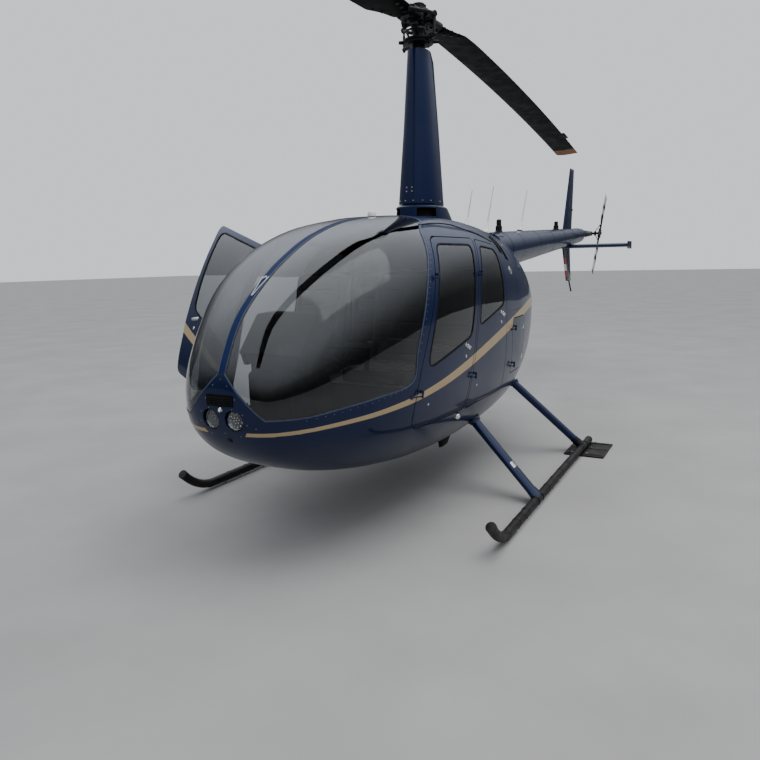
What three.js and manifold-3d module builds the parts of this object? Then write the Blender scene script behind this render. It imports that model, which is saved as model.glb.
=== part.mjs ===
// Light turbine helicopter with a five-seat cabin, two-blade rotors and skid gear,
// parked on level ground with its right front door open.
// Millimetres, +X forward, +Y to the aircraft's left, +Z up, ground at Z = 0.
// Stations are measured forward of the main rotor's axis; the whole aircraft is then
// moved by MAST_X, so that the origin lies on the ground under the middle of its outline.

import * as THREE from 'three';
import { mergeVertices } from 'three/addons/utils/BufferGeometryUtils.js';
import Module from 'manifold-3d';

const wasm = await Module();
wasm.setup();

// Driving dimensions
const MAST_X = 660;
const GAP = 0.3;
const DOOR_GAP = 6;
const WALL = 30;
const GLASS = 8;
const RING_POINTS = 32;

const ROTOR_RADIUS = 5030;
const ROTOR_HEIGHT = 3365;
const ROTOR_DROOP = 310;
const ROTOR_HEADING = 1.5;

const FAIRING_TOP = 3150;
const FAIRING_BASE = 2042;

const TAIL_ROTOR = { x: -5865, y: 262, z: 1984, radius: 720, heading: 50 };

const SKID = { track: 2240, radius: 30, height: 42.3, front: 1560, bend: 1240, aft: -1060, tip: 190 };
const PAD_TOP = 18;

const DOOR_TOP = 1761;
const DOOR_BASE = 668;
const DOOR_OPEN = 75;
const SILL_DROP = 6;
const RIM = { width: 14, thick: 8 };
const FLOOR_TOP = 640;
const BULKHEAD_X = -30;
const SILL_Z = 925;

// Fuselage sections: station, top, bottom, half width, height of the widest point,
// and how square the upper and lower halves are (2 is an ellipse).
const SECTIONS = [
  { x: 2385, top: 1000, bottom: 900, half: 60, waist: 950, upper: 2.0, lower: 2.2 },
  { x: 2370, top: 1050, bottom: 829, half: 170, waist: 940, upper: 1.9, lower: 2.3 },
  { x: 2330, top: 1145, bottom: 734, half: 261, waist: 930, upper: 1.9, lower: 2.4 },
  { x: 2220, top: 1330, bottom: 620, half: 381, waist: 940, upper: 2.0, lower: 2.5 },
  { x: 2050, top: 1485, bottom: 530, half: 491, waist: 960, upper: 2.3, lower: 2.5 },
  { x: 1800, top: 1645, bottom: 445, half: 606, waist: 990, upper: 2.8, lower: 2.6 },
  { x: 1500, top: 1780, bottom: 387, half: 679, waist: 1010, upper: 3.1, lower: 2.75 },
  { x: 1150, top: 1872, bottom: 350, half: 714, waist: 1030, upper: 3.3, lower: 2.95 },
  { x: 750, top: 1920, bottom: 336, half: 729, waist: 1050, upper: 3.3, lower: 3.1 },
  { x: 250, top: 1930, bottom: 346, half: 735, waist: 1080, upper: 3.1, lower: 3.15 },
  { x: -250, top: 1921, bottom: 373, half: 719, waist: 1120, upper: 2.6, lower: 3.1 },
  { x: -700, top: 1909, bottom: 434, half: 664, waist: 1170, upper: 2.1, lower: 2.9 },
  { x: -1150, top: 1893, bottom: 529, half: 565, waist: 1220, upper: 1.75, lower: 2.65 },
  { x: -1500, top: 1875, bottom: 643, half: 444, waist: 1260, upper: 1.6, lower: 2.4 },
  { x: -1750, top: 1850, bottom: 796, half: 305, waist: 1300, upper: 1.6, lower: 2.15 },
  { x: -1880, top: 1815, bottom: 959, half: 177, waist: 1360, upper: 1.7, lower: 2.0 },
  { x: -1930, top: 1700, bottom: 1150, half: 90, waist: 1420, upper: 2.0, lower: 2.0 },
];

// Stations of the fuselage rings, nose to tail, and the two closing points.
const RINGS = [
  2380, 2362, 2325, 2265, 2180, 2060, 1900, 1700, 1460, 1180, 860, 500, 100,
  -300, -650, -1000, -1290, -1520, -1700, -1820, -1895, -1925,
];
const NOSE = { x: 2388, z: 950 };
const STERN = { x: -1933, z: 1420 };

// Side-view outlines, station and height of each corner in turn
const FRONT_DOOR = [
  [1050, DOOR_TOP], [463, DOOR_TOP], [633, 1563], [755, 1038], [810, 925], [874, DOOR_BASE],
  [1500, DOOR_BASE], [1546, 740], [1519, 934], [1385, 1229], [1220, 1573], [1115, 1722],
];
const REAR_DOOR = [
  [433, DOOR_TOP - 4], [40, 1722], [62, 1612], [96, 1411], [112, 923], [128, 814], [112, DOOR_BASE],
  [843, DOOR_BASE], [780, 919], [725, 1032], [603, 1560],
];
const FRONT_WINDOW = [
  [1070, 1716], [568, 1716], [670, 1551], [768, 1235], [812, 1136], [1415, 1004], [1350, 1190], [1196, 1530],
];
const REAR_WINDOW = [
  [411, 1712], [90, 1688], [126, 1562], [138, 1434], [160, 1300], [662, 1188], [588, 1500],
];
const WINDSHIELD_REAR = [
  [1566, 955], [1510, 1128], [1412, 1342], [1325, 1507], [1205, 1677], [1110, 1775], [990, 1837], [850, 1890], [760, 2050],
];
const BAGGAGE_DOOR = [[-60, 1180], [-60, 760], [-430, 760], [-430, 1180]];
const LOUVRES = [
  [[-42, 1782], [-118, 1790], [-108, 1655], [-36, 1672]],
  [[-146, 1792], [-222, 1798], [-208, 1606], [-134, 1622]],
];
const LOUVRE_DEPTH = 16;

// Mast fairing and the collar under it, base to top: height, front, rear, half width
const FAIRING = [
  { z: FAIRING_BASE, front: 200, rear: -318, half: 151 },
  { z: 2600, front: 148, rear: -283, half: 110 },
  { z: 3095, front: 110, rear: -216, half: 80 },
  { z: FAIRING_TOP, front: 104, rear: -150, half: 78 },
];
const COLLAR = [
  { z: 1780, front: 235, rear: -660, half: 182 },
  { z: 1920, front: 232, rear: -540, half: 180 },
  { z: 2018, front: 225, rear: -385, half: 172 },
  { z: 2029, front: 208, rear: -356, half: 156 },
  { z: 2030, front: 178, rear: -290, half: 130 },
  { z: FAIRING_BASE - GAP, front: 178, rear: -290, half: 130 },
];
const COLLAR_INLET = { x: 70, y: 70, base: 1945, top: 2008 };

// Blades, root to tip: radius, leading and trailing edge, thickness, and how far the
// section is a true wing
const BLADE = [
  { r: 236, fore: 64, aft: -118, thick: 66, wing: 0.1 },
  { r: 330, fore: 66, aft: -150, thick: 56, wing: 0.4 },
  { r: 445, fore: 70, aft: -208, thick: 42, wing: 0.8 },
  { r: 640, fore: 72, aft: -218, thick: 34, wing: 1 },
  { r: 1800, fore: 72, aft: -218, thick: 33, wing: 1 },
  { r: 3000, fore: 72, aft: -218, thick: 32, wing: 1 },
  { r: 4100, fore: 72, aft: -218, thick: 31, wing: 1 },
  { r: ROTOR_RADIUS, fore: 72, aft: -218, thick: 30, wing: 1 },
];
const GRIP = [
  { r: 20, fore: 88, aft: -88, thick: 60, wing: 0 },
  { r: 150, fore: 78, aft: -100, thick: 62, wing: 0 },
  { r: 236 - GAP, fore: 64, aft: -118, thick: 66, wing: 0.1 },
];
const TAIL_BLADE = [
  { r: 75, fore: 22, aft: -22, thick: 26, wing: 0 },
  { r: 150, fore: 27, aft: -33, thick: 22, wing: 0.4 },
  { r: 220, fore: 32, aft: -96, thick: 16, wing: 1 },
  { r: TAIL_ROTOR.radius, fore: 32, aft: -96, thick: 13, wing: 1 },
];

// Tail cone and its surfaces
const CONE = { front: -1500, aft: -5560, frontZ: 1684, aftZ: 1952, frontRadius: 195, aftRadius: 105 };
const UPPER_FIN = [
  { z: 1960, front: -4640, rear: -5150, thick: 50 },
  { z: 2855, front: -4985, rear: -5225, thick: 26 },
];
const LOWER_FIN = [
  { z: 1880, front: -4585, rear: -5060, thick: 46 },
  { z: 1300, front: -4915, rear: -5200, thick: 28 },
];
const STABILIZER = { span: 845, front: -4680, rear: -5000, z: 1781, thick: 55, plate: 50 };

// Skid struts: station and height at the skid and at the hull
const STRUTS = [
  { name: 'front', foot: [606, 45], top: [440, 480] },
  { name: 'aft', foot: [-797, 45], top: [-490, 600] },
];
const STRUT = { topY: 620, chord: 122, thick: 44 };

// Doors: side-view outline and window, and for each hinge its station, its height and
// how far forward its arm reaches into the frame
const HINGE = { out: 26, radius: 8, length: 26, arm: 4.5 };
const DOORS = [
  {
    name: 'front', sides: [1, -1], outline: FRONT_DOOR, window: FRONT_WINDOW,
    upper: [1244, 1530, 15], lower: [1508, 880, 62], upperOn: 'roof', lowerOn: 'hull',
  },
  {
    name: 'rear', sides: [1, -1], outline: REAR_DOOR, window: REAR_WINDOW,
    upper: [613, 1530, 15], lower: [793, 880, 15], upperOn: 'roof', lowerOn: 'hull',
  },
  {
    name: 'baggage', sides: [1], outline: BAGGAGE_DOOR,
    upper: [-57, 1110, 15], lower: [-57, 830, 15], upperOn: 'cowl', lowerOn: 'cowl',
  },
];
const COWL_SPLIT = 1240;
const LAMP = { y: 74, z: 855, radius: 52 };

// Colours
const NAVY = 0x101b3e;
const GREY = 0x8a8d91;
const BLACK = 0x151618;
const TINT = 0x2a2f33;
const WHITE = 0xd9dbda;
const finish = {
  paint: () => new THREE.MeshStandardMaterial({ color: NAVY, roughness: 0.25, metalness: 0.3 }),
  glass: () => new THREE.MeshStandardMaterial({ color: TINT, roughness: 0.05, metalness: 0.0 }),
  black: () => new THREE.MeshStandardMaterial({ color: BLACK, roughness: 0.5, metalness: 0.2 }),
  rubber: () => new THREE.MeshStandardMaterial({ color: BLACK, roughness: 0.85, metalness: 0.0 }),
  metal: () => new THREE.MeshStandardMaterial({ color: GREY, roughness: 0.35, metalness: 0.9 }),
  white: () => new THREE.MeshStandardMaterial({ color: WHITE, roughness: 0.4, metalness: 0.1 }),
  leather: () => new THREE.MeshStandardMaterial({ color: 0x4a4038, roughness: 0.6, metalness: 0.0 }),
};

// Solids
function solid(geometry) {
  const source = geometry.clone();
  source.deleteAttribute('normal');
  source.deleteAttribute('uv');
  const merged = mergeVertices(source, 1e-3);
  const mesh = new wasm.Mesh({
    numProp: 3,
    vertProperties: new Float32Array(merged.attributes.position.array),
    triVerts: new Uint32Array(merged.index.array),
  });
  return new wasm.Manifold(mesh);
}

function toGeometry(body) {
  const mesh = body.getMesh();
  const geometry = new THREE.BufferGeometry();
  geometry.setAttribute('position', new THREE.BufferAttribute(new Float32Array(mesh.vertProperties), 3));
  geometry.setIndex(new THREE.BufferAttribute(new Uint32Array(mesh.triVerts), 1));
  return geometry;
}

function union(...bodies) {
  return bodies.reduce((sum, body) => sum.add(body));
}

// A closed skin over rings of points; each end closes on its own middle point.
function loft(rings, first, last) {
  const count = rings[0].length;
  const points = rings.flat();
  const index = [];
  for (let r = 0; r + 1 < rings.length; r += 1) {
    for (let i = 0; i < count; i += 1) {
      const a = r * count + i;
      const b = r * count + ((i + 1) % count);
      index.push(a, b, b + count, a, b + count, a + count);
    }
  }
  const start = points.length;
  points.push(first ?? middle(rings[0]), last ?? middle(rings[rings.length - 1]));
  const end = (rings.length - 1) * count;
  for (let i = 0; i < count; i += 1) {
    const next = (i + 1) % count;
    index.push(start, next, i);
    index.push(start + 1, end + i, end + next);
  }
  let volume = 0;
  for (let i = 0; i < index.length; i += 3) {
    const [a, b, c] = index.slice(i, i + 3).map((k) => points[k]);
    volume += a.dot(b.clone().cross(c));
  }
  if (volume < 0) index.reverse();
  const geometry = new THREE.BufferGeometry();
  geometry.setAttribute('position', new THREE.Float32BufferAttribute(points.flatMap((p) => p.toArray()), 3));
  geometry.setIndex(index);
  return solid(geometry);
}

function middle(ring) {
  const sum = new THREE.Vector3();
  ring.forEach((point) => sum.add(point));
  return sum.divideScalar(ring.length);
}

function box(x0, x1, y0, y1, z0, z1) {
  const geometry = new THREE.BoxGeometry(x1 - x0, y1 - y0, z1 - z0);
  geometry.translate((x0 + x1) / 2, (y0 + y1) / 2, (z0 + z1) / 2);
  return solid(geometry);
}

// A side-view outline carried through from y0 to y1
function sidePrism(outline, y0, y1) {
  const shape = new THREE.Shape(outline.map(([x, z]) => new THREE.Vector2(x, z)));
  const geometry = new THREE.ExtrudeGeometry(shape, { depth: y1 - y0, bevelEnabled: false });
  geometry.rotateX(Math.PI / 2);
  geometry.translate(0, y1, 0);
  return solid(geometry);
}

// A front-view outline carried through from x0 to x1
function frontPrism(outline, x0, x1) {
  const shape = new THREE.Shape(outline.map(([y, z]) => new THREE.Vector2(y, z)));
  const geometry = new THREE.ExtrudeGeometry(shape, { depth: x1 - x0, bevelEnabled: false });
  geometry.applyMatrix4(new THREE.Matrix4().makeBasis(
    new THREE.Vector3(0, 1, 0),
    new THREE.Vector3(0, 0, 1),
    new THREE.Vector3(1, 0, 0),
  ));
  geometry.translate(x0, 0, 0);
  return solid(geometry);
}

// A round bar between two points
function bar(from, to, radius, sides = 10, endRadius = radius) {
  const axis = new THREE.Vector3().subVectors(to, from);
  const geometry = new THREE.CylinderGeometry(endRadius, radius, axis.length(), sides);
  geometry.applyQuaternion(new THREE.Quaternion().setFromUnitVectors(new THREE.Vector3(0, 1, 0), axis.clone().normalize()));
  const centre = from.clone().add(to).multiplyScalar(0.5);
  geometry.translate(centre.x, centre.y, centre.z);
  return solid(geometry);
}

function at(x, y, z) {
  return new THREE.Vector3(x, y, z);
}

// Moves an outline's corners inwards (or outwards where the distance is negative)
function inset(outline, distance) {
  const area = outline.reduce((sum, [x, z], i) => {
    const [nx, nz] = outline[(i + 1) % outline.length];
    return sum + x * nz - nx * z;
  }, 0);
  const side = area > 0 ? 1 : -1;
  return outline.map((corner, i) => {
    const before = outline[(i + outline.length - 1) % outline.length];
    const after = outline[(i + 1) % outline.length];
    const a = new THREE.Vector2(corner[0] - before[0], corner[1] - before[1]).normalize();
    const b = new THREE.Vector2(after[0] - corner[0], after[1] - corner[1]).normalize();
    const na = new THREE.Vector2(-a.y, a.x).multiplyScalar(side);
    const nb = new THREE.Vector2(-b.y, b.x).multiplyScalar(side);
    const bisector = na.clone().add(nb).normalize();
    const reach = distance / Math.max(0.35, bisector.dot(na));
    return [corner[0] + bisector.x * reach, corner[1] + bisector.y * reach];
  });
}

// Fuselage surface: one value of the section table at a station, by monotone cubics
const byStation = [...SECTIONS].reverse();
function sectionValue(name, x) {
  const rows = byStation;
  const slopes = [];
  for (let i = 0; i + 1 < rows.length; i += 1) {
    slopes.push((rows[i + 1][name] - rows[i][name]) / (rows[i + 1].x - rows[i].x));
  }
  const tangent = (i) => {
    if (i === 0) return slopes[0];
    if (i === rows.length - 1) return slopes[slopes.length - 1];
    const product = slopes[i - 1] * slopes[i];
    return product <= 0 ? 0 : (2 * product) / (slopes[i - 1] + slopes[i]);
  };
  const clamped = Math.min(Math.max(x, rows[0].x), rows[rows.length - 1].x);
  let k = 0;
  while (k + 2 < rows.length && clamped > rows[k + 1].x) k += 1;
  const step = rows[k + 1].x - rows[k].x;
  const t = (clamped - rows[k].x) / step;
  const h00 = (1 + 2 * t) * (1 - t) ** 2;
  const h10 = t * (1 - t) ** 2;
  const h01 = t * t * (3 - 2 * t);
  const h11 = t * t * (t - 1);
  return h00 * rows[k][name] + h10 * step * tangent(k) + h01 * rows[k + 1][name] + h11 * step * tangent(k + 1);
}

function section(x) {
  const row = { x };
  for (const name of ['top', 'bottom', 'half', 'waist', 'upper', 'lower']) row[name] = sectionValue(name, x);
  return row;
}

// Half width of the skin at a station and height
function skin(x, z) {
  const row = section(x);
  const up = z > row.waist;
  const reach = up ? row.top - row.waist : row.waist - row.bottom;
  const power = up ? row.upper : row.lower;
  const part = Math.min(1, Math.abs(z - row.waist) / reach);
  return row.half * (1 - part ** power) ** (1 / power);
}

// The fuselage as a closed body, drawn in from its skin by a depth
function fuselage(depth) {
  const middleX = (NOSE.x + STERN.x) / 2;
  const shrink = 1 - (2 * depth) / (NOSE.x - STERN.x);
  const place = (x) => middleX + (x - middleX) * shrink;
  const rings = RINGS.map((x) => {
    const row = section(x);
    const ring = [];
    for (let i = 0; i < RING_POINTS; i += 1) {
      const angle = (i / RING_POINTS) * 2 * Math.PI;
      const across = Math.sin(angle);
      const along = Math.cos(angle);
      const power = along > 0 ? row.upper : row.lower;
      const height = Math.max(2, (along > 0 ? row.top - row.waist : row.waist - row.bottom) - depth);
      const half = Math.max(2, row.half - depth);
      const reach = ((Math.abs(across) / half) ** power + (Math.abs(along) / height) ** power) ** (-1 / power);
      ring.push(at(place(x), across * reach, row.waist + along * reach));
    }
    return ring;
  });
  return loft(rings, at(place(NOSE.x), 0, NOSE.z), at(place(STERN.x), 0, STERN.z));
}

// The assembled aircraft
const helicopter = new THREE.Group();
helicopter.position.x = MAST_X;

function add(name, body, material, parent = helicopter) {
  const mesh = new THREE.Mesh(body.isBufferGeometry ? body : toGeometry(body), material);
  mesh.name = name;
  parent.add(mesh);
  return mesh;
}

const OUTER = fuselage(0);
const INNER = fuselage(WALL);
const SHELL = OUTER.subtract(INNER);
const GLAZING = OUTER.subtract(fuselage(GLASS));
const CLEARANCE = fuselage(-GAP);
const CAVITY = fuselage(WALL + GAP);
const BEHIND_RIM = fuselage(RIM.thick);
const WIDE = 1200;

function windshieldSolid(grow) {
  const lower = [[2600, 868 - grow], [2250, 862 - grow], [2056, 884 - grow], [1844, 911 - grow], [1566 - grow, 955 - grow]];
  const rear = WINDSHIELD_REAR.slice(1).map(([x, z]) => [x - grow, z]);
  return sidePrism([...lower, ...rear, [2600, 2100]], -WIDE, WIDE)
    .subtract(frontPrism([[0, 1105 - grow], [-300, 800 - grow], [300, 800 - grow]], 1900, 2600));
}

const postHalf = 21;

// Windshield halves either side of the centre post
const windshield = GLAZING.intersect(windshieldSolid(0));
for (const [side, name] of [[1, 'windshield_left'], [-1, 'windshield_right']]) {
  const inner = side * (postHalf + GAP);
  const half = box(700, 2600, Math.min(inner, side * WIDE), Math.max(inner, side * WIDE), 800, 2100);
  add(name, windshield.intersect(half), finish.glass());
}

// Cabin doors, each with its window, turning on two hinges at the front edge
function hingeLine(door, side) {
  const [upper, lower] = [door.upper, door.lower].map(([x, z]) => at(x, side * (skin(x, z) + HINGE.out), z));
  return { upper, lower, up: upper.clone().sub(lower).normalize() };
}

// One hinge half: a knuckle above (+1) or below (-1) the joint, on an arm into its panel
function hingeHalf(point, up, side, level, reach) {
  const near = point.clone().addScaledVector(up, level * GAP / 2);
  const far = point.clone().addScaledVector(up, level * (HINGE.length + GAP / 2));
  const centre = near.clone().add(far).multiplyScalar(0.5);
  const root = at(centre.x + reach, side * (skin(centre.x + reach, centre.z) - 9), centre.z);
  return bar(near, far, HINGE.radius, 8).add(bar(centre, root, HINGE.arm, 6));
}

function buildDoor(door, side) {
  const from = side > 0 ? 1 : -WIDE;
  const to = side > 0 ? WIDE : -1;
  const line = hingeLine(door, side);
  const window = door.window ? sidePrism(inset(door.window, -GAP), from, to) : null;
  const edge = sidePrism(inset(door.outline, DOOR_GAP / 2), from, to);
  const rim = sidePrism(inset(door.outline, -RIM.width), from, to)
    .subtract(sidePrism(inset(door.outline, DOOR_GAP / 2 + RIM.width), from, to));
  let panel = SHELL.intersect(edge).subtract(BEHIND_RIM.intersect(rim));
  if (window) panel = panel.subtract(window);
  for (const point of [line.upper, line.lower]) panel = panel.add(hingeHalf(point, line.up, side, 1, -26));
  const pane = door.window ? GLAZING.intersect(sidePrism(door.window, from, to)) : null;
  return { line, panel, pane };
}

const frameHinges = { roof: [], hull: [], cowl: [] };
for (const door of DOORS) {
  for (const side of door.sides) {
    const hand = side > 0 ? 'left' : 'right';
    const { line, panel, pane } = buildDoor(door, side);
    const open = door.name === 'front' && side < 0 ? DOOR_OPEN : 0;
    const leaf = new THREE.Group();
    leaf.position.copy(line.upper);
    leaf.quaternion.setFromAxisAngle(line.up, -side * THREE.MathUtils.degToRad(open));
    const home = line.upper.clone().negate().toArray();
    add(`${door.name}_${hand}_door`, toGeometry(panel).translate(...home), finish.paint(), leaf);
    if (pane) add(`${door.name}_${hand}_window`, toGeometry(pane).translate(...home), finish.glass(), leaf);
    helicopter.add(leaf);
    frameHinges[door.upperOn].push(hingeHalf(line.upper, line.up, side, -1, door.upper[2]));
    frameHinges[door.lowerOn].push(hingeHalf(line.lower, line.up, side, -1, door.lower[2]));
  }
}

// Cabin shell: lower hull with the nose, and the roof with its posts
function doorwayOutline(outline) {
  return inset(outline, -DOOR_GAP / 2).map(([x, z]) => [x, z < DOOR_BASE ? z - SILL_DROP : z]);
}

function buildCabin() {
  const doorway = sidePrism(doorwayOutline(FRONT_DOOR), -WIDE, WIDE)
    .add(sidePrism(doorwayOutline(REAR_DOOR), -WIDE, WIDE));
  const centrePost = box(700, 2600, -postHalf, postHalf, 900, 2100);
  const framed = SHELL
    .subtract(doorway)
    .subtract(box(-3000, BULKHEAD_X, -WIDE, WIDE, 0, 3000))
    .subtract(windshieldSolid(GAP).subtract(centrePost));
  const split = (gap) => sidePrism([
    [2600, 1090 + gap], [2600, -gap], [-300, -gap], [-300, SILL_Z + gap], [1700, SILL_Z + gap], [2100, 1090 + gap],
  ], -WIDE, WIDE);
  return {
    hull: union(framed.intersect(split(0)).subtract(lampBores(GAP)), ...frameHinges.hull),
    roof: union(framed.subtract(split(GAP)), ...frameHinges.roof),
  };
}

function lampBores(grow) {
  return union(...[1, -1].map((side) => bar(
    at(2200, side * LAMP.y, LAMP.z),
    at(2500, side * LAMP.y, LAMP.z),
    LAMP.radius + grow,
    16,
  )));
}

const cabin = buildCabin();
add('lower_hull', cabin.hull, finish.paint());
add('roof_and_posts', cabin.roof, finish.paint());
const lamps = OUTER.subtract(fuselage(24)).intersect(lampBores(0));
add('landing_lamp_left', lamps.intersect(box(2000, 2600, 0, 200, 700, 1000)), finish.metal());
add('landing_lamp_right', lamps.intersect(box(2000, 2600, -200, 0, 700, 1000)), finish.metal());

// Cabin floor and rear bulkhead
const bulkheadFront = BULKHEAD_X + 24.7;
add('cabin_floor', CAVITY.intersect(box(bulkheadFront + GAP, 2150, -WIDE, WIDE, FLOOR_TOP - 25, FLOOR_TOP)), finish.black());
add('rear_bulkhead', CAVITY.intersect(box(BULKHEAD_X, bulkheadFront, -WIDE, WIDE, 400, 2000)), finish.black());

// Seats, controls and instrument console
const seatTop = FLOOR_TOP + 250;
function seat(name, x, y0, y1, lean) {
  const outline = [
    [x + 470, seatTop + GAP], [x + 470, seatTop + 95], [x + 130, seatTop + 105], [x + 130 - lean, seatTop + 690],
    [x + 20 - lean, seatTop + 690], [x, seatTop + GAP],
  ];
  add(name, sidePrism(outline, y0, y1), finish.leather());
}
add('front_seat_base', box(960, 1420, -560, 560, FLOOR_TOP + GAP, seatTop), finish.black());
seat('front_left_seat', 955, 75, 545, 110);
seat('front_right_seat', 955, -545, -75, 110);
add('rear_seat_base', box(40, 520, -600, 600, FLOOR_TOP + GAP, seatTop), finish.black());
seat('rear_seat', 75, -590, 590, 60);

const consoleOutline = [
  [1980, FLOOR_TOP + GAP], [1530, FLOOR_TOP + GAP], [1560, 900], [1640, 1020], [1655, 1330], [1790, 1330], [1980, 1130],
];
const pedalBar = { x: 1940, z: 690, reach: 410, radius: 11 };
const pedals = [-410, -270, 190, 330].map((y) => box(
  pedalBar.x - 6, pedalBar.x + 6, y, y + 80, pedalBar.z, pedalBar.z + 150,
));
add('instrument_console', union(
  sidePrism(consoleOutline, -155, 155),
  bar(at(pedalBar.x, -pedalBar.reach, pedalBar.z), at(pedalBar.x, pedalBar.reach, pedalBar.z), pedalBar.radius, 8),
  ...pedals,
), finish.black());

const stickFoot = at(1480, 0, FLOOR_TOP + 8);
const stickTop = at(1430, 0, 1110);
add('cyclic_stick', union(
  bar(stickFoot, stickTop, 16, 8),
  bar(at(1430, -310, 1110), at(1430, 310, 1110), 11, 8),
  bar(at(1430, 310, 1110), at(1455, 310, 990), 15, 8),
  bar(at(1430, -310, 1110), at(1455, -310, 990), 15, 8),
  box(1455, 1505, -30, 30, FLOOR_TOP + GAP, FLOOR_TOP + 20),
), finish.black());

// Aft body: cowls round the engine bay
const TAIL_CONE = buildCone(0);
function buildCone(grow) {
  const rings = [[CONE.front, CONE.frontZ, CONE.frontRadius], [CONE.aft, CONE.aftZ, CONE.aftRadius]].map(([x, z, radius], end) => {
    const ring = [];
    for (let i = 0; i < 20; i += 1) {
      const angle = (i / 20) * 2 * Math.PI;
      ring.push(at(x + (end ? -grow : grow), Math.sin(angle) * (radius + grow), z + Math.cos(angle) * (radius + grow)));
    }
    return ring;
  });
  return loft(rings);
}

const exhaustFrom = at(-1180, 0, 980);
const exhaustTo = at(-1640, 0, 560);
function buildCowl() {
  const door = sidePrism(inset(BAGGAGE_DOOR, -DOOR_GAP / 2), 1, WIDE);
  const aft = SHELL
    .intersect(box(-3000, BULKHEAD_X - GAP, -WIDE, WIDE, 0, 3000))
    .subtract(door)
    .subtract(buildCone(GAP))
    .subtract(bar(exhaustFrom, exhaustTo, 92 + GAP, 16));
  const louvres = union(...LOUVRES.map((outline) => sidePrism(outline, -WIDE, WIDE)));
  const upper = aft
    .intersect(box(-3000, 0, -WIDE, WIDE, COWL_SPLIT + GAP, 3000))
    .subtract(louvres.subtract(fuselage(LOUVRE_DEPTH)));
  const lower = aft.intersect(box(-3000, 0, -WIDE, WIDE, 0, COWL_SPLIT));
  return { upper: biggest(upper), lower: union(lower, ...frameHinges.cowl) };
}

function biggest(body) {
  return body.decompose().sort((a, b) => b.volume() - a.volume())[0];
}

const cowl = buildCowl();
add('upper_cowl', cowl.upper, finish.paint());
add('lower_cowl', cowl.lower, finish.paint());
add('engine', box(-960, BULKHEAD_X - GAP, -235, 235, 800, 1290), finish.metal());
const pipe = bar(exhaustFrom, exhaustTo, 92, 16).subtract(bar(at(-1190, 0, 971), at(-1660, 0, 542), 86, 16));
add('exhaust_pipe', pipe, finish.metal());

// Mast fairing on its collar
function fairingRings(rows) {
  const sides = 24;
  return rows.map((row) => {
    const ring = [];
    for (let i = 0; i < sides; i += 1) {
      const angle = (i / sides) * 2 * Math.PI;
      const c = Math.cos(angle);
      const sweep = Math.abs(Math.sin(angle)) ** (c < 0 ? 1.2 : 0.9) * Math.sign(Math.sin(angle));
      ring.push(at(c * (c < 0 ? -row.rear : row.front), row.half * sweep, row.z));
    }
    return ring;
  });
}
const inlets = union(...[1, -1].map((side) => box(
  COLLAR_INLET.x, 400,
  side > 0 ? COLLAR_INLET.y : -400, side > 0 ? 400 : -COLLAR_INLET.y,
  COLLAR_INLET.base, COLLAR_INLET.top,
)));
add('mast_collar', biggest(loft(fairingRings(COLLAR)).subtract(CLEARANCE).subtract(inlets)), finish.paint());
add('mast_fairing', loft(fairingRings(FAIRING)), finish.paint());

// Main rotor
function bladeRing(row, place) {
  const ring = [];
  const sides = 12;
  for (let i = 0; i < sides; i += 1) {
    const angle = (i / sides) * 2 * Math.PI;
    const u = (1 - Math.cos(angle)) / 2;
    const wing = 10 * (0.2969 * Math.sqrt(u) - 0.126 * u - 0.3516 * u * u + 0.2843 * u ** 3 - 0.1015 * u ** 4);
    const oval = Math.abs(Math.sin(angle));
    const half = (wing * row.wing + oval * (1 - row.wing)) * (row.thick / 2) * Math.sign(Math.sin(angle) || 1);
    ring.push(place(row.fore + (row.aft - row.fore) * u, Math.abs(Math.sin(angle)) < 1e-9 ? 0 : half));
  }
  return ring;
}

function mainBladeRings(rows) {
  const root = BLADE[0].r;
  return rows.map((row) => {
    const sag = ROTOR_DROOP * (Math.max(0, row.r - root) / (ROTOR_RADIUS - root)) ** 1.6;
    const twist = THREE.MathUtils.degToRad(6 * (1 - row.r / ROTOR_RADIUS));
    return bladeRing(row, (fore, up) => at(
      row.r,
      fore * Math.cos(twist) - up * Math.sin(twist),
      fore * Math.sin(twist) + up * Math.cos(twist) - sag,
    ));
  });
}

// Where each blade's pitch horn meets its link
const LINK = { x: 108, y: 168, z: -12, radius: 10 };

function mainBlade() {
  const horn = bar(at(300, 54, LINK.z), at(LINK.x, LINK.y, LINK.z), 13, 8);
  return loft(mainBladeRings(BLADE)).add(horn);
}

const rotor = new THREE.Group();
rotor.position.z = ROTOR_HEIGHT;
rotor.rotation.z = THREE.MathUtils.degToRad(ROTOR_HEADING);
helicopter.add(rotor);
const mastRadius = 46;
const hub = { base: -42, top: 115 };
add('rotor_mast', bar(at(0, 0, FAIRING_TOP + GAP - ROTOR_HEIGHT), at(0, 0, hub.base - GAP), mastRadius, 16), finish.black(), rotor);
const grip = mainBladeRings(GRIP);
add('rotor_hub', union(
  loft(grip),
  loft(grip.map((ring) => ring.map((point) => at(-point.x, -point.y, point.z)))),
  bar(at(0, 0, hub.base), at(0, 0, hub.top), 60, 16),
  bar(at(0, 0, 36), at(0, 0, 66), 84, 16),
  bar(at(0, -128, 0), at(0, 128, 0), 34, 12),
), finish.black(), rotor);
for (const [name, turn] of [['main_blade_front', 0], ['main_blade_rear', Math.PI]]) {
  add(name, mainBlade(), finish.black(), rotor).rotation.z = turn;
}
const plate = { z: -150, half: 22, radius: 112 };
const links = [1, -1].flatMap((side) => [
  bar(at(0, 0, plate.z), at(side * LINK.x, side * LINK.y, plate.z), 16, 8),
  bar(at(side * LINK.x, side * LINK.y, plate.z - 24), at(side * LINK.x, side * LINK.y, LINK.z - 13 - GAP), LINK.radius, 8),
]);
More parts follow.
